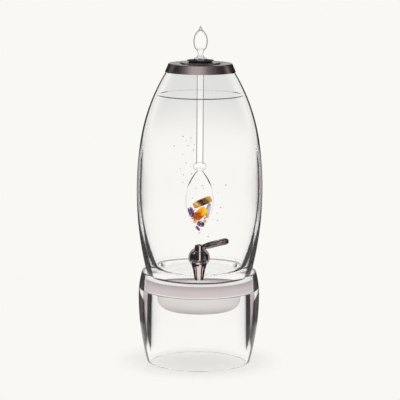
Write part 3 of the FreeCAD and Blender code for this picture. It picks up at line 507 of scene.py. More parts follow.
around = np.linspace(0, 2 * np.pi, TABLE_CORNERS, endpoint=False)
disc = TABLE_RADIUS * np.stack([np.cos(around), np.sin(around), 0 * around - TABLE_DROP], axis=-1)
disc = (disc, [list(range(TABLE_CORNERS))], np.zeros(TABLE_CORNERS))
table = new_piece("table", disc, smooth=False)
top = bpy.data.materials.new("pale_table")
top.use_nodes = True
tree = top.node_tree
tree.nodes.clear()
rays = node(tree, "LightPath").outputs
distance = reach_of(tree, here(tree))
clean_ray = maths(tree, "SUBTRACT", 1.0, some(tree, rays["Diffuse Depth"]))
paint = node(tree, "BsdfDiffuse", Color=BACKDROP).outputs[0]
glow = node(tree, "Emission", Color=BACKDROP).outputs[0]
clear = node(tree, "BsdfTransparent").outputs[0]
evenness = between(tree, step_up(tree, distance, *SHADOW_EDGE), SHADOW_EVENNESS, 1.0)
lit_share = product(tree, clean_ray, evenness)
lit = node(tree, "MixShader", _0=lit_share, _1=paint, _2=glow).outputs[0]
far = step_up(tree, distance, *FAR_EDGE)
passes = product(tree, some(tree, rays["Glossy Depth"]), clean_ray, far)
surface = node(tree, "MixShader", _0=passes, _1=lit, _2=clear).outputs[0]
node(tree, "OutputMaterial", Surface=surface)
table.data.materials.append(top)
table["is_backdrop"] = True

# %% [markdown]
# ## Finishes
#
# A finish is one Principled shader with its colour, roughness and bump patterns. The patterns
# are soft noise that reads the place on the piece in metres, so their grain has a real size.


# %% Helpers for finishes
def finish(name, **sockets):
    """A new material with one Principled shader; returns it with its tree and shader."""
    material = bpy.data.materials.new(name)
    material.use_nodes = True
    tree = material.node_tree
    tree.nodes.clear()
    shader = node(tree, "BsdfPrincipled", **sockets)
    output = node(tree, "OutputMaterial", Surface=shader.outputs[0])
    return material, tree, shader, output


def level(tree):
    """The height on the piece, in metres."""
    return split(tree, here(tree))[2]


def by_height(tree, *steps):
    """The sum of soft steps along the height. Each is (low, high, start, end): between the two
    heights in metres, it goes from start to end."""
    return total(tree, *[
        between(tree, step_up(tree, level(tree), low, high), start, end)
        for low, high, start, end in steps
    ])


def grain(tree, scale, detail=2.0, vector=None):
    """Soft noise of a size given as its scale per metre."""
    vector = here(tree) if vector is None else vector
    return node(tree, "TexNoise", Vector=vector, Scale=scale, Detail=detail).outputs[0]


def bumps(tree, shader, height, strength, depth):
    """Give the shader a bump of the given height pattern; depth is in metres."""
    bump = node(tree, "Bump", Strength=strength, Distance=depth, Height=height)
    fill(tree, shader, Normal=bump.outputs[0])


def mottled(name, scale, smoothest, roughest, colour, **sockets):
    """A finish whose roughness wanders between two values."""
    material, tree, shader, _ = finish(name, Base_Color=colour, **sockets)
    fill(tree, shader, Roughness=between(tree, grain(tree, scale), smoothest, roughest))
    return material


def outward(tree):
    """1 on walls that look away from the axis, 0 on flat places, -1 where they look inwards."""
    return node(tree, "Attribute", {"attribute_name": "outward"}).outputs["Fac"]


def outer_wall(tree):
    """1 on walls that look away from the axis, and 0 elsewhere."""
    return step_up(tree, outward(tree), 0.15, 0.5)


def leaned(tree, place, lean):
    """A place read along axes that lean by an angle in degrees, round the depth axis."""
    settings = {"rotation_type": "Y_AXIS"}
    return node(tree, "VectorRotate", settings, Vector=place, Angle=math.radians(lean)).outputs[0]


# %% [markdown]
# ## Clear glass
#
# Thick glass shows a dark line where its outside is seen edge-on, and a dark band at its bore,
# where light is thrown back inside the wall. Both are painted shade in the glass's colour here,
# and so is the dark underside of the vessel's heel.
#
# Rays that a dull piece scatters and rays that metal mirrors go straight through. So what stands
# behind glass is lit, and metal behind glass looks as it does in the open. The glass bends light
# less than real glass, because in the photograph the far rims show almost unshifted.

# %% Numbers of clear glass
CLEAR = (1, 1, 1)
# Painted shade: the rim's dark line, the bore's dark band, and the heel's dark underside as seen
# from outside and from within.
RIM_SHADE = (0.012, 0.010, 0.011)
BORE_SHADE = (0.055, 0.050, 0.052)
HEEL_SHADE = (0.010, 0.009, 0.011)
HEEL_SHADE_FROM_WITHIN = (0.30, 0.26, 0.27)
MURK, MURK_DENSITY = (0.90, 0.84, 0.86), 0.8
RIM_SOFTNESS = 0.07
BORE_SOFTNESS, BORE_END_SOFTNESS = 0.01, 0.02
HEEL_TOP, HEEL_SOFTNESS = 0.1500, 0.0003
UNDER_EDGE, INWARD_EDGE = (0.02, 0.08), (-0.5, -0.8)
WAVE_SCALE, WAVE_STRENGTH, WAVE_DEPTH = 14.0, 0.03, 0.0005
THICK_INDEX = 1.18

# By height, the share of edge-on at which the rim's painted dark line starts. It is broad at the
# vessel's foot and top and thin between, and fine at the stand's foot and beside its recess.
VESSEL_RIM = [(0.18, 0.28, 0.54, 0.85), (0.34, 0.38, 0.0, -0.13)]
STAND_RIM = [(0.02, 0.055, 0.70, 0.54), (0.108, 0.126, 0.0, 0.28)]
# The share at which the bore's band of painted shade ends. It is a wedge in the vessel's thick
# lower wall.
VESSEL_BORE = [(0.24, 0.18, 0.51, 0.61), (0.34, 0.39, 0.0, -0.08)]
STAND_BORE = [(0.015, 0.06, 0.46, 0.63)]


# %% Clear glass
def let_through(tree, glass):
    """Glass, but nothing for rays that dull pieces scatter or metal mirrors. Rays mirrored by
    polished glass are glossy and singular, those mirrored by metal only glossy."""
    light = node(tree, "LightPath").outputs
    through = node(tree, "BsdfTransparent").outputs[0]
    glossy = node(tree, "MixShader", _0=light["Is Singular Ray"], _1=through, _2=glass).outputs[0]
    sharp = node(tree, "MixShader", _0=light["Is Glossy Ray"], _1=glass, _2=glossy).outputs[0]
    return node(tree, "MixShader", _0=light["Is Diffuse Ray"], _1=sharp, _2=through).outputs[0]


def bore_band(tree, index, slant, ends):
    """The mask of the bore's painted shade: 1 on the bore for rays from within, from total
    reflection, where 1 - slant is sqrt(1 - 1 / index^2), up to the band's end."""
    start, end = 1 - math.sqrt(1 - 1 / index**2), by_height(tree, *ends)
    from_start = step_up(tree, slant, start - BORE_SOFTNESS, start + BORE_SOFTNESS)
    past, before = total(tree, end, BORE_END_SOFTNESS), total(tree, end, -BORE_END_SOFTNESS)
    inward = step_up(tree, outward(tree), *INWARD_EDGE)
    from_within = node(tree, "NewGeometry").outputs["Backfacing"]
    return product(tree, from_within, inward, from_start, step_up(tree, slant, past, before))


def clear_glass(name, index, rim, bore=None, heel=None, rim_shade=RIM_SHADE, **sockets):
    """Glass with painted shade at its rim, and if they are given, at its bore and below its heel.
    Glass with a bore is a little wavy."""
    material, tree, shader, output = finish(
        name, Roughness=0.0, IOR=index, Transmission_Weight=1.0, **sockets
    )
    fill(tree, output, Surface=let_through(tree, shader.outputs[0]))
    slant = node(tree, "LayerWeight", Blend=0.5).outputs["Facing"]
    low = by_height(tree, *rim)
    dark = step_up(tree, slant, low, total(tree, low, RIM_SOFTNESS))
    # The rim's painted shade, where the outer wall is seen edge-on.
    shade = blend(tree, product(tree, outer_wall(tree), dark), CLEAR, rim_shade)
    if heel:
        # The heel's painted shade: dark from outside, paler from within.
        below = step_up(tree, level(tree), heel + HEEL_SOFTNESS, heel - HEEL_SOFTNESS)
        under = product(tree, below, step_up(tree, outward(tree), *UNDER_EDGE))
        from_within = node(tree, "NewGeometry").outputs["Backfacing"]
        shade = blend(tree, under, shade, blend(tree, from_within, HEEL_SHADE, HEEL_SHADE_FROM_WITHIN))
    if bore:
        # The bore's painted shade, where the glass stops letting light through.
        band = bore_band(tree, index, slant, bore)
        fill(tree, shader, Transmission_Weight=maths(tree, "SUBTRACT", 1.0, band))
        shade = blend(tree, band, shade, BORE_SHADE)
        bumps(tree, shader, grain(tree, WAVE_SCALE), WAVE_STRENGTH, WAVE_DEPTH)
    fill(tree, shader, Base_Color=shade)
    murk = node(tree, "VolumeAbsorption", Color=MURK, Density=MURK_DENSITY)
    fill(tree, output, Volume=murk.outputs[0])
    print(f"{name}: {len(tree.nodes)} nodes")
    return material


stand_finish = clear_glass("stand_clear_glass", THICK_INDEX, STAND_RIM, bore=STAND_BORE)
vessel_finish = clear_glass(
    "vessel_clear_glass", THICK_INDEX, VESSEL_RIM, bore=VESSEL_BORE, heel=HEEL_TOP
)

# %% [markdown]
# ## The stand
#
# The stand is a thick barrel of clear glass, open at the bottom. Inside its rim a recess ends
# in a ledge, on which the dish hangs. It could be pressed in a mould and polished at the foot.
# One closed profile walks up the outside and down the inside, so the wall is solid glass.

# %% The stand
stand_outline = profile([
    (79.5, 0, 0, 1.3), (87.0, 0, side_bow(112, 14.5), 1.3), (101.5, 112, side_bow(41.4, 5.8)),
    (95.7, 153.4, 0, 1.3), (92.6, 153.4, 0, 1.3), (92.6, 122.8, 0, 0.6), (79.4, 122.8, 0, 1.3),
])
stand = new_piece("stand_glass_body", turned(stand_outline, turns=256), material=stand_finish)
stand_in(stand, "stand", "clear_glass", "stand_glass")

# %% [markdown]
# ## The vessel
#
# The vessel is a tall barrel that narrows to its mouth, with a thick bottom and a rounded heel.
# It could be blown in a mould. The outside is three arcs that go on smoothly into each other,
# and the inside follows with its own arcs, so the wall grows thick towards the bottom.

# %% The vessel
FOOT = 146.6
WIDEST = 143.5
RISE = 81.5
TAPER_OUT, SHOULDER_OUT, MOUTH_OUT = 5.85, (99.2, 225), (51.8, 350.5)
TAPER_IN, SHOULDER_IN, MOUTH_IN = 4.8, (92.8, 225), (47.2, 350.5)


def upper_bows(taper, shoulder, mouth):
    """Bows of the arc up to the shoulder and of the one that goes on from it to the mouth."""
    bow = side_bow(RISE, taper)
    return bow, closing_bow(shoulder, (1 - taper / bow, RISE / bow), mouth)


side_out, neck_out = upper_bows(TAPER_OUT, SHOULDER_OUT, MOUTH_OUT)
side_in, neck_in = upper_bows(TAPER_IN, SHOULDER_IN, MOUTH_IN)
vessel_outline = profile([
    (0, 1.2), (81.3, 1.2), (82.5, 0, 0, 0.5), (86.7, 0, side_bow(WIDEST, 18.35), 9.0),
    (105.05, WIDEST, side_out), (*SHOULDER_OUT, neck_out), (*MOUTH_OUT, 0, 1.4),
    (*MOUTH_IN, -neck_in, 1.4), (*SHOULDER_IN, -side_in), (97.6, WIDEST, -side_bow(134.5, 28.7)),
    (68.9, 9.0, 0, 22.0), (0, 9.0),
])
vessel_shape = turned(vessel_outline, FOOT, turns=256)
vessel = new_piece("vessel_glass_body", vessel_shape, material=vessel_finish)
stand_in(vessel, "vessel", "clear_glass", "vessel_glass")

# %% [markdown]
# ## The waterline
#
# The vessel is full to a hand below the lid. The body of the water is left out, because it
# would magnify the vial, and the photograph shows it unshifted. What shows is the thin bright
# lens of its surface with a dark edge, where the water climbs a little up the glass. The edge's
# dark is painted shade, darker at the front than at the back.

# %% The water surface
WATER_LEVEL = 451.2
WATER_INDEX = 1.33
FRONT_TO_BACK = (-0.03, 0.03)
# Painted shade on the water's edge: dark at the front, paler at the back.
FRONT_SHADE, BACK_SHADE = (0.03, 0.03, 0.032), (0.50, 0.50, 0.51)
SKIN_ALPHA = 0.03

water_outline = profile([
    (0, -1.6), (71.3, -1.6), (71.2, 0.6, -2.0), (69.8, 0.0), (0, 0.0),
], edge=0.2)
water_finish, tree, shader, _ = finish(
    "water_skin", Roughness=0.0, IOR=WATER_INDEX, Transmission_Weight=1.0
)
dark = outer_wall(tree)
behind = step_up(tree, split(tree, here(tree))[1], *FRONT_TO_BACK)
edge_shade = blend(tree, behind, FRONT_SHADE, BACK_SHADE)
fill(tree, shader, Base_Color=blend(tree, dark, CLEAR, edge_shade))
fill(tree, shader, Alpha=between(tree, dark, SKIN_ALPHA, 1.0))
bumps(tree, shader, grain(tree, 25.0), 0.05, 0.0005)
water = new_piece("water_surface", turned(water_outline, WATER_LEVEL), material=water_finish)
stand_in(water, "vessel", "clear_glass")

# %% [markdown]
# ## Bubbles
#
# Small bubbles hang in the water round the tube and the vial. Each is a little ball, put on
# the line of sight through its place in the photograph, at a seeded random depth. Those before
# the vial stay clear of it.

# %% The bubbles
BUBBLE_PLACES = np.array([
    (-28.5, 380.2), (-23.1, 373.5), (-15.1, 378.0), (-14.6, 371.3), (-42.7, 364.2), (-20.1, 364.6),
    (-29.0, 350.3), (-9.4, 367.3), (-10.3, 357.9), (-32.8, 326.0), (-15.1, 330.2), (-23.0, 336.1),
    (-27.1, 315.9), (-13.7, 317.6), (-20.1, 306.2), (-28.0, 303.1), (4.3, 298.1), (-6.1, 293.5),
    (6.7, 293.0), (-11.7, 276.9), (30.8, 286.0), (43.9, 299.2), (23.1, 299.8), (35.3, 261.3),
    (29.6, 251.4), (30.4, 238.7), (22.7, 241.2), (14.9, 211.2),
])
BUBBLE_DEPTH = 25
BUBBLE_RADII = (0.7, 1.3)
VIAL_REACH, VIAL_HEIGHT, BEFORE_VIAL = 26, 332, -30
chance = np.random.default_rng(5)


def ball(centre, radius):
    """A closed ball: centre + radius * way for each way round a ball."""
    rows = centre + radius * ball_ways(6, 10)[1:-1]
    return woven(rows, [centre - [0, 0, radius]], [centre + [0, 0, radius]])


depth = chance.uniform(-BUBBLE_DEPTH, BUBBLE_DEPTH, len(BUBBLE_PLACES))
across, upright = BUBBLE_PLACES.T
depth[(np.abs(across) < VIAL_REACH) & (upright < VIAL_HEIGHT)] = BEFORE_VIAL
sight_rise = (upright * MM - CAMERA_PLACE[2]) / -CAMERA_PLACE[1]
spread = 1 + depth * MM / -CAMERA_PLACE[1]
centres = np.stack([across * spread, depth, upright + sight_rise * depth], axis=-1)
radii = chance.uniform(*BUBBLE_RADII, len(centres))
# The bubbles' grey is painted shade, standing for the light they bend away.
bubble_finish = finish("air_bubble", Base_Color=(0.30, 0.30, 0.34), Roughness=0.15, Alpha=0.45)[0]
bubbles = new_piece("bubbles", *map(ball, centres, radii), material=bubble_finish)
stand_in(bubbles, "vessel", "clear_glass")

# %% [markdown]
# ## The dish
#
# The dish hangs from the ledge: a broad upper band and a narrower bowl below. It is frosted, a
# soft pale rose. Its colour runs with the height as painted shade: darker under the vessel's heel,
# and paler on the bowl, where light falls through the open foot of the stand.

# %% The frosted dish
DISH_STEP = 123.8
DISH_HEIGHTS = (0.090, 0.146)
frosted, tree, shader, _ = finish("frosted_glass_dish", Roughness=0.42, IOR=1.45)
# Painted shade by height on the pale rose dish: dark under the heel, pale on the bowl.
shade = colours(
    tree, share_of(tree, level(tree), *DISH_HEIGHTS),
    (0.0, (0.44, 0.40, 0.41)), (0.14, (0.61, 0.57, 0.58)), (0.35, (0.86, 0.83, 0.83)),
    (0.55, (0.96, 0.94, 0.94)), (0.62, (0.97, 0.96, 0.96)), (0.645, (0.69, 0.62, 0.63)),
    (0.80, (0.65, 0.57, 0.59)), (0.955, (0.48, 0.41, 0.42)), (0.975, (0.95, 0.93, 0.93)),
)
speckle = between(tree, grain(tree, 900.0, 3.0), 0.94, 1.04)
fill(tree, shader, Base_Color=scaled(tree, shade, speckle))
bumps(tree, shader, grain(tree, 2400.0), 0.25, 0.0001)
dish_outline = profile([
    (0, -33.6), (50.5, -33.6, 20), (70.5, -13.6), (70.5, 0, 0, 1.0), (91.8, 0, 0, 0.8),
    (91.8, 21.8, 0, 0.5), (90.0, 21.8), (90.0, 18.8), (87.0, 18.8, 0, 0.5), (87.0, 3.0, 0, 1.5),
    (67.5, 3.0, 0, 1.0), (67.5, -13.6, -17), (50.5, -30.6), (0, -30.6),
])
dish = new_piece("frosted_dish_body", turned(dish_outline, DISH_STEP), material=frosted)
stand_in(dish, "dish", "frosted_dish", "cooling_dish")

# %% [markdown]
# ## Tube, vial and finial
#
# These are thin blown glass, and their dark lines are painted shade. The vial hangs in water,
# where glass hardly shows: it has dark lines only at its shoulders. The tube's lines are broad,
# and its collar's are fine, and the tube has a faint painted glow. The finial has a fine outline
# and a grey tip, painted shade where the glass is solid.

# %% Thin glass
# Painted shade: the heights at which the thin glass's dark lines start.
VIAL_RIM = [(0.287, 0.306, 0.99, 0.52)]
TUBE_RIM = [(0.333, 0.338, 0.60, 0.33)]
FINIAL_RIM = [(0.553, 0.561, 0.44, 0.06)]

# The tube's faint emission is a painted glow that brightens it.
tube_finish = clear_glass(
    "tube_thin_glass", 1.04, TUBE_RIM, rim_shade=(0.22, 0.215, 0.22),
    Emission_Color=(1, 1, 0.98), Emission_Strength=0.025,
)
vial_finish = clear_glass("vial_thin_glass", 1.02, VIAL_RIM, rim_shade=(0.02, 0.02, 0.02))
finial_finish = clear_glass("finial_glass", 1.015, FINIAL_RIM, rim_shade=(0.42, 0.41, 0.43))

# %% The tube
SEAM = 322.1
tube_outline = profile([
    (0, -5), (3.9, -5), (3.9, 0), (5.2, 0), (5.2, 1.68, 6.21), (5.8, 14, 0, 2.0),
    (5.8, 186.0), (4.4, 186.0), (4.4, 17, 0, 1.0), (0, 16),
], edge=0.2)
tube = new_piece("vial_tube_glass", turned(tube_outline, SEAM, turns=64), material=tube_finish)
stand_in(tube, "lid", "thin_glass", "vial_tube")

# %% The vial
vial_outline = profile([
    (0, -114), (16.456, -82, side_bow(32, 7.744)), (24.2, -50, side_bow(50, 19)), (5.2, 0),
    (4.0, 0), (4.0, -5), (7.26, -5, -73.69), (22.6, -50, -68.39), (14.65, -82), (0, -109.2),
], edge=0.2)
vial = new_piece("gem_vial_glass", turned(vial_outline, SEAM, turns=128), material=vial_finish)
stand_in(vial, "lid", "thin_glass", "gem_vial")

# %% The finial
VIAL_TOP = 508.5
finial_outline = profile([
    (0, -5), (4.3, -5), (4.3, 0), (10.4, 0), (10.4, 3.46, -8.32, 0.8), (4.3, 8.64, 0, 1.0),
    (4.3, 11.52, -9.52, 1.0), (9.28, 18.43, 30.94, 2.0), (11.9, 31.97, 22.61),
    (3.57, 49.54, 0, 2.5), (0, 57.6),
], edge=0.2)
flame_hollow = profile([
    (0, 16.7), (7.78, 19.58, 30.94), (10.4, 31.97, 22.61), (2.38, 46.66, 0, 1.0), (0, 47.8),
], edge=1.0)[::-1]
skins = [turned(outline, VIAL_TOP, turns=96) for outline in (finial_outline, flame_hollow)]
finial = new_piece("finial_glass", *skins, material=finial_finish)
stand_in(finial, "lid", "thin_glass", "finial")

# %% [markdown]
# ## The stones
#
# The stones are tumbled: flat sides with worn edges. Each is a rounded polyhedron, made from a
# box whose edges and corners are cut by tilted planes. The cuts are seeded random, so the
# stones differ.

# %% Shapes of stones
DIAGONALS = np.indices((3, 3, 3)).reshape(3, -1).T - 1.0
DIAGONALS = DIAGONALS[np.abs(DIAGONALS).sum(axis=1) > 0]
KINDS = np.abs(DIAGONALS).sum(axis=1).astype(int)
CUT_SLANT = 0.16
CORNER_CUT = 1.03
LEAST_REACH = 0.93


def tilt(lean):
    """Matrix of a turn that lifts the right end by the lean in degrees."""
    c, s = math.cos(math.radians(lean)), math.sin(math.radians(lean))
    return np.array([(c, 0, -s), (0, 1, 0), (s, 0, c)])


def stone(centre, sides, lean, seed, worn=16, cut=1.14, rings=40, turns=64):
    """A tumbled stone. In each direction d the surface lies at
    (sum over the flat sides of max(0, n.d / h)^worn)^(-1/worn), stretched to the three sides.
    The cut is how far out the planes lie that take off the edges. A normal's kind is 1 for a
    side of the box, 2 for an edge and 3 for a corner."""
    random = np.random.default_rng(seed)
    tilts = random.normal(0, CUT_SLANT, DIAGONALS.shape) * (KINDS > 1)[:, None]
    normals = DIAGONALS + tilts
    reach = np.array([1.0, cut, cut * CORNER_CUT])[KINDS - 1]
    reach = reach * random.uniform(LEAST_REACH, 1.0, len(reach))
    normals = normals / np.linalg.norm(normals, axis=1)[:, None]
    ways = ball_ways(rings, turns)
    push = np.clip(ways @ (normals / reach[:, None]).T, 0, None)
    shape = ways * ((push**worn).sum(axis=-1) ** (-1 / worn))[..., None]
    shape = shape * (np.array(sides) / 2) @ tilt(lean).T + centre
    return woven(shape[1:-1], shape[:1, 0], shape[-1:, 0])


# %% Finishes of stones
def along_stone(tree, centre, lean):
    """Places on a stone in metres: along its own length, its depth and its height."""
    shift = tuple(MM * np.array(centre))
    place = node(tree, "VectorMath", {"operation": "SUBTRACT"}, _0=here(tree), _1=shift).outputs[0]
    return split(tree, leaned(tree, place, lean))


def wander(tree, scale, detail, width):
    """Soft noise that goes to both sides of 0, over a width in metres: (noise - 0.5) * width."""
    return product(tree, maths(tree, "SUBTRACT", grain(tree, scale, detail), 0.5), width)


def speckled(name, roughness, specular, scale, detail, *stops):
    """A stone whose colour follows soft noise."""
    material, tree, shader, _ = finish(name, Roughness=roughness, Specular_IOR_Level=specular)
    fill(tree, shader, Base_Color=colours(tree, grain(tree, scale, detail), *stops))
    return material


# %% The banded stone
BANDED = ((4.8, -1.0, 270.3), (33.9, 17.0, 10.4), 24)
BAND_SLOPE = 0.5
BANDS_FROM_TO = (-0.017, 0.017)
FIBRE_SCALES = (900.0, 120.0, 160.0)

golden, tree, shader, _ = finish("banded_gold_stone", Roughness=0.3, Specular_IOR_Level=0.06)
along, deep, high = along_stone(tree, BANDED[0], BANDED[2])
band = total(tree, along, wander(tree, 220.0, 2.0, 0.006), product(tree, high, BAND_SLOPE))
bands = colours(
    tree, share_of(tree, band, *BANDS_FROM_TO),
    (0.0, (0.78, 0.46, 0.12)), (0.14, (0.50, 0.24, 0.05)), (0.22, (0.85, 0.58, 0.22)),
    (0.34, (0.52, 0.27, 0.06)), (0.40, (0.13, 0.05, 0.014)), (0.56, (0.04, 0.02, 0.008)),
    (0.64, (0.20, 0.10, 0.02)), (0.74, (0.12, 0.08, 0.02)), (0.84, (0.55, 0.25, 0.05)),
    (1.0, (0.75, 0.40, 0.12)),
)
fibres = grain(tree, 1.0, 3.0, stretched(tree, (along, deep, high), FIBRE_SCALES))
fill(tree, shader, Base_Color=scaled(tree, bands, between(tree, fibres, 0.45, 1.6)))
banded_shape = stone(*BANDED, seed=11, worn=50, cut=1.24)
banded = new_piece("banded_stone_tumbled", banded_shape, material=golden)
stand_in(banded, "lid", "banded_stone", "banded_stone")

# %% The orange stone
ORANGE = ((1.7, -7.5, 251.6), (26.4, 14.3, 14.3), 45)
ORANGE_FROM_TO = (-0.013, 0.013)
# A faint glow in the stone's own colour: painted light that brightens it.
ORANGE_PAINTED_GLOW = 0.06

amber, tree, shader, _ = finish(
    "amber_stone", Roughness=0.25, Specular_IOR_Level=0.05, Emission_Strength=ORANGE_PAINTED_GLOW
)
along = total(tree, along_stone(tree, ORANGE[0], ORANGE[2])[0], wander(tree, 160.0, 4.0, 0.022))
shade = colours(
    tree, share_of(tree, along, *ORANGE_FROM_TO),
    (0.0, (0.34, 0.05, 0.003)), (0.22, (0.62, 0.13, 0.006)), (0.38, (0.24, 0.05, 0.005)),
    (0.52, (0.78, 0.23, 0.008)), (0.72, (0.90, 0.40, 0.012)), (1.0, (0.95, 0.64, 0.04)),
)
fill(tree, shader, Base_Color=shade, Emission_Color=shade)
orange = new_piece("orange_stone_tumbled", stone(*ORANGE, seed=4, worn=30), material=amber)
stand_in(orange, "lid", "orange_stone", "orange_stone")

# %% The purple stones
violet = speckled(
    "violet_stone", 0.15, 0.25, 260.0, 4.0,
    (0.30, (0.030, 0.012, 0.050)), (0.45, (0.12, 0.055, 0.19)), (0.56, (0.24, 0.14, 0.32)),
    (0.68, (0.62, 0.50, 0.66)),
)
purple = new_piece(
    "purple_stones_tumbled",
    stone((-14, 1, 252.7), (9, 10.9, 17.2), 17, seed=21),
    stone((2.2, 0, 232.3), (12.8, 9.4, 9.2), -18, seed=22),
    stone((-2.4, -0.5, 224.7), (10.9, 5.3, 4.3), -46, seed=23),
    material=violet,
)
stand_in(purple, "lid", "purple_stone", "purple_stones")

# %% The pale stone
milky = speckled(
    "pale_lilac_stone", 0.2, 0.3, 150.0, 3.0,
    (0.30, (0.42, 0.38, 0.50)), (0.50, (0.66, 0.62, 0.72)), (0.70, (0.86, 0.84, 0.86)),
)
pale_shape = stone((14.8, 4.1, 256), (7.3, 11.6, 24.7), -13, seed=31)
pale = new_piece("pale_stone_tumbled", pale_shape, material=milky)
stand_in(pale, "lid", "pale_stone", "pale_stone")

# %% The chips
chip_finish = speckled(
    "chip_stone", 0.2, 0.2, 170.0, 2.0,
    (0.30, (0.62, 0.22, 0.05)), (0.45, (0.86, 0.45, 0.16)), (0.60, (0.92, 0.80, 0.62)),
)
chips = new_piece(
    "stone_chips_tumbled",
    stone((9.2, 0, 237.4), (5.6, 4.6, 3.4), -14, seed=41),
    stone((13.3, -4.6, 246.3), (4.4, 5.1, 6.3), -9, seed=42),
    stone((-7.5, -4.8, 237.2), (5.1, 4.8, 5.6), 18, seed=43),
    material=chip_finish,
)
stand_in(chips, "lid", "chip_stone", "stone_chips")

# %% The crumbs between the stones
CRUMBS = [
    (-11.7, -5.5, 243.1, 1.7), (-5.0, 1.0, 243.4, 1.3), (-8.4, 0.0, 239.7, 1.8),
    (-4.7, -9.0, 235.9, 1.5), (2.7, -11.0, 238.8, 1.6), (8.9, -11.0, 245.7, 1.6),
    (9.4, -8.5, 242.7, 1.9), (9.5, -4.5, 236.9, 1.6), (0.0, 0.0, 216.8, 1.2),
    (-16.0, -9.5, 261.9, 1.5), (-9.0, -15.5, 258.7, 1.4), (-7.2, 6.5, 250.3, 1.4),
]
CRUMB_SIDES = np.array([2.6, 2.0, 1.8])
FIRST_SEED, LEAN_STEP = 50, 37

crumb_finish = speckled(
    "crumb_stone", 0.25, 0.2, 240.0, 0.0,
    (0.36, (0.22, 0.12, 0.30)), (0.42, (0.88, 0.82, 0.76)), (0.54, (0.88, 0.72, 0.54)),
    (0.62, (0.85, 0.32, 0.05)),
)
crumb_shapes = [
    stone(place, CRUMB_SIDES * size, LEAN_STEP * i % 90, FIRST_SEED + i, rings=10, turns=16)
    for i, (*place, size) in enumerate(CRUMBS)
]
crumbs = new_piece("stone_crumbs", *crumb_shapes, material=crumb_finish)
stand_in(crumbs, "lid", "chip_stone")

# %% [markdown]
# ## The lever
#
# The lever is a satin paddle that rises to the right and flattens at its end, on a round hub.
# It could be cast and brushed. The paddle is a row of rounded ovals along a curved middle line.

# %% The lever
TAP = np.array([0, -119.98, 195.1])
PADDLE_START, PADDLE_END = 3.0, 47.8
PADDLE_RISE, PADDLE_SLOPE, PADDLE_BEND = 19.2, 0.31, 0.00105
TIP_START, ROOT_LENGTH = 0.86, 16
HALF_WIDTHS, HALF_HEIGHTS = (4.6, 4.0), (3.6, 1.2)
SQUARENESS, TIP_FULLNESS = 0.7, 0.9
DENT_MIDDLE, DENT_LENGTH, DENT_WIDTH, DENT_DEPTH = 31, 13.5, 5.6, 0.9


def paddle(rings=64, turns=48):
    """Rows round a middle line z = rise + slope * x - bend * x^2. Each is a superellipse whose
    half-width and half-height grow over the root and shrink as sqrt(1 - t^2) at the tip. A
    dent lowers the top."""
    share = np.linspace(0, 1, rings)[:, None]
    share = 0.5 * share + 0.25 * (1 - np.cos(np.pi * share))
    x = PADDLE_START + (PADDLE_END - PADDLE_START) * share
    middle = PADDLE_RISE + PADDLE_SLOPE * x - PADDLE_BEND * x**2
    slope = PADDLE_SLOPE - 2 * PADDLE_BEND * x
    tip = np.sqrt(1 - np.clip((share - TIP_START) / (1 - TIP_START), 0, 1) ** 2)
    growth = np.sin(np.clip((x - PADDLE_START) / ROOT_LENGTH, 0, 1) * np.pi / 2) ** 2
    width = (HALF_WIDTHS[0] + HALF_WIDTHS[1] * growth) * tip**TIP_FULLNESS
    height = (HALF_HEIGHTS[0] + HALF_HEIGHTS[1] * growth) * tip
    a = np.linspace(0, 2 * np.pi, turns, endpoint=False)[None, :]
    ways = np.stack([np.cos(a), np.sin(a)])
    across, upward = np.sign(ways) * np.abs(ways) ** SQUARENESS
    dent = 1 - ((x - DENT_MIDDLE) / DENT_LENGTH) ** 2 - (across * width / DENT_WIDTH) ** 2
    lift = upward * height - (upward > 0) * DENT_DEPTH * np.sqrt(np.clip(dent, 0, 1))
    return np.stack([x - slope * lift, -across * width, middle + lift + 0 * a], axis=-1)


rows = paddle()
paddle_surface = moved(woven(rows[1:-1], rows[:1].mean(axis=1), rows[-1:].mean(axis=1)), TAP)
print("paddle rows:", rows.shape)

# %% The lever's finish, and its hub
STREAK_LEAN, STREAK_SCALES, STREAK_EDGE = 40, (70.0, 200.0, 620.0), (0.42, 0.66)
DARK_STREAK, PALE_STREAK = (0.12, 0.102, 0.10), (0.52, 0.47, 0.465)

lever_finish, tree, shader, _ = finish("lever_satin", Metallic=1.0)
slanting = split(tree, leaned(tree, here(tree), STREAK_LEAN))
streaks = grain(tree, 1.0, 2.0, stretched(tree, slanting, STREAK_SCALES))
streaks = step_up(tree, streaks, *STREAK_EDGE)
fill(tree, shader, Base_Color=blend(tree, streaks, DARK_STREAK, PALE_STREAK))
fill(tree, shader, Roughness=between(tree, grain(tree, 400.0), 0.16, 0.30))
lever = new_piece("tap_lever_paddle", paddle_surface, material=lever_finish)
stand_in(lever, "lever", "satin_lever", "tap_lever")

chrome = mottled("dark_chrome", 700.0, 0.04, 0.10, (0.64, 0.605, 0.605), Metallic=1.0)
hub_outline = profile([(0, 14.3), (7.0, 14.3, 0, 0.5), (7.0, 24.3, 0, 0.7), (0, 24.3)])
hub_surface = moved(turned(hub_outline, turns=64), TAP)
hub = new_piece("tap_lever_hub", hub_surface, material=chrome)
stand_in(hub, "lever", "dark_chrome", "tap_lever")

# %% [markdown]
# ## The tap body
#
# The spout is a polished bell that narrows to its outlet, with a neck above and a barrel that
# runs back through the glass. It could be cast in brass and plated dark. The bell's sides grow
# steeper towards the outlet, so its highlight narrows downwards.

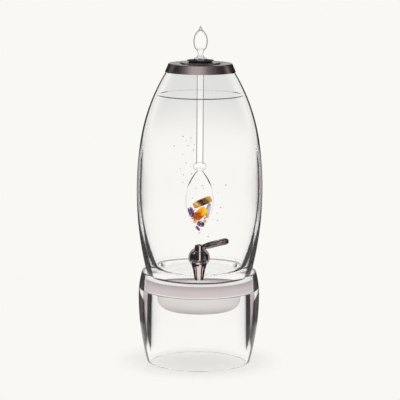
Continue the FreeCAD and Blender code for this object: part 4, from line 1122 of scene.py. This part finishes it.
# %% The tap body
spout_outline = profile([
    (0, -14), (4.0, -14), (4.0, -33, 0, 0.2), (7.9, -33, -110.0, 0.5), (10.95, -14.5, 26.0),
    (12.28, -7, 6.1), (7.0, -1, 0, 1.5), (7.0, 10), (0, 10),
])
barrel_outline = profile([
    (0, 0), (7.5, 0), (7.5, 10.0, 0, 0.6), (9.4, 10.8, 0, 0.3), (9.4, 12.0), (7.9, 12.0),
    (7.9, 52.8, 0, 0.1), (7.1, 53.6), (0, 53.6),
])
spout = moved(turned(spout_outline, turns=128), TAP)
standing, faces, shares = turned(barrel_outline, turns=96)
barrel = moved((standing[:, [0, 2, 1]] * [-1, 1, 1], faces, shares), TAP)
tap_body = new_piece("tap_body_polished", spout, barrel, material=chrome)
stand_in(tap_body, "vessel", "dark_chrome", "tap_body")

# %% [markdown]
# ## Finishes of the CAD pieces
#
# The other pieces keep their CAD shape and only get a new finish. The lid's steel is brushed in
# rings round its axis. Its flat top mirrors a paler part of the room than its side does, and its
# colour there is painted much paler as well: a painted reflection.

# %% The lid's steel
RING_SCALES = (1.6, 1900.0, 1900.0)
DARK_RING, PALE_RING, PAINTED_TOP_SHEEN = (0.32, 0.295, 0.29), (0.44, 0.41, 0.40), (0.88, 0.97, 0.95)
TOP_EDGE = (0.9, 0.98)

steel, tree, shader, _ = finish("lid_steel", Metallic=1.0)
x, y, z = split(tree, here(tree))
turn, radius = maths(tree, "ARCTAN2", x, y), reach_of(tree, joined(tree, x, y, 0.0))
rings = grain(tree, 1.0, 3.0, stretched(tree, (turn, radius, z), RING_SCALES))
upward = split(tree, node(tree, "TexCoord").outputs["Normal"])[2]
brushed = blend(tree, rings, DARK_RING, PALE_RING)
# Painted reflection: the flat top's colour is much paler than the brushed side's.
shade = blend(tree, step_up(tree, upward, *TOP_EDGE), brushed, PAINTED_TOP_SHEEN)
fill(tree, shader, Base_Color=shade, Roughness=between(tree, rings, 0.24, 0.38))
bumps(tree, shader, rings, 0.25, 0.00005)
print("lid steel:", len(tree.nodes), "nodes")

# %% Silicone, cover, rubber and other metals
COVER = (0.93, 0.92, 0.90)
silicone = mottled("silicone", 500.0, 0.28, 0.42, (0.85, 0.82, 0.82))
ledge_rubber = mottled("ledge_silicone", 500.0, 0.28, 0.42, (0.22, 0.19, 0.20))
# The cover glows faintly in its own colour: painted light.
cover_finish, tree, shader, _ = finish(
    "cover_frosted", Base_Color=COVER, Roughness=0.5, Emission_Color=COVER, Emission_Strength=0.05
)
bumps(tree, shader, grain(tree, 2400.0), 0.2, 0.0001)
bright_steel = mottled("machined_steel", 600.0, 0.20, 0.34, (0.55, 0.54, 0.53), Metallic=1.0)
rubber, tree, shader, _ = finish("black_rubber", Base_Color=(0.012, 0.011, 0.012), Roughness=0.5)
bumps(tree, shader, grain(tree, 1500.0), 0.2, 0.0001)
brass = mottled("turned_brass", 600.0, 0.2, 0.35, (0.60, 0.45, 0.22), Metallic=1.0)

FINISHES = {
    silicone: ["vessel_pad", "tap_front_gasket", "tap_rear_gasket", "lid_seal"],
    ledge_rubber: ["ledge_pad"],
    cover_finish: ["cooling_dish_cover"],
    chrome: ["tap_flange", "tap_bonnet", "tap_lever_screw"],
    steel: ["lid_shell"],
    bright_steel: ["tap_nut", "tap_rear_washer"],
    brass: ["tap_plug"],
    rubber: ["tap_plug_rings", "vial_bush"],
}
for material, names in FINISHES.items():
    for name in names:
        cad_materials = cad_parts[name].data.materials
        cad_materials.clear()
        cad_materials.append(material)
    print(material.name, "on", ", ".join(names))

# %% [markdown]
# ## Bounces and sizes
#
# A ray crosses many glass walls, so light may bounce often. The last line gives the sizes of the
# CAD model and of the visual model.

# %% Light may bounce often inside glass
GLASS_BOUNCES, MIRROR_BOUNCES = 32, 16
scene = bpy.context.scene
scene.view_settings.view_transform = "Standard"
scene.cycles.glossy_bounces = MIRROR_BOUNCES
for kind in ("max_bounces", "transmission_bounces", "transparent_max_bounces"):
    setattr(scene.cycles, kind, GLASS_BOUNCES)
print("bounces in glass:", GLASS_BOUNCES)

# %% Sizes and the last line
boxes = {"cad": cad_box, "visual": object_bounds()}
{key: [list(map(float, corner)) for corner in box] for key, box in boxes.items()}
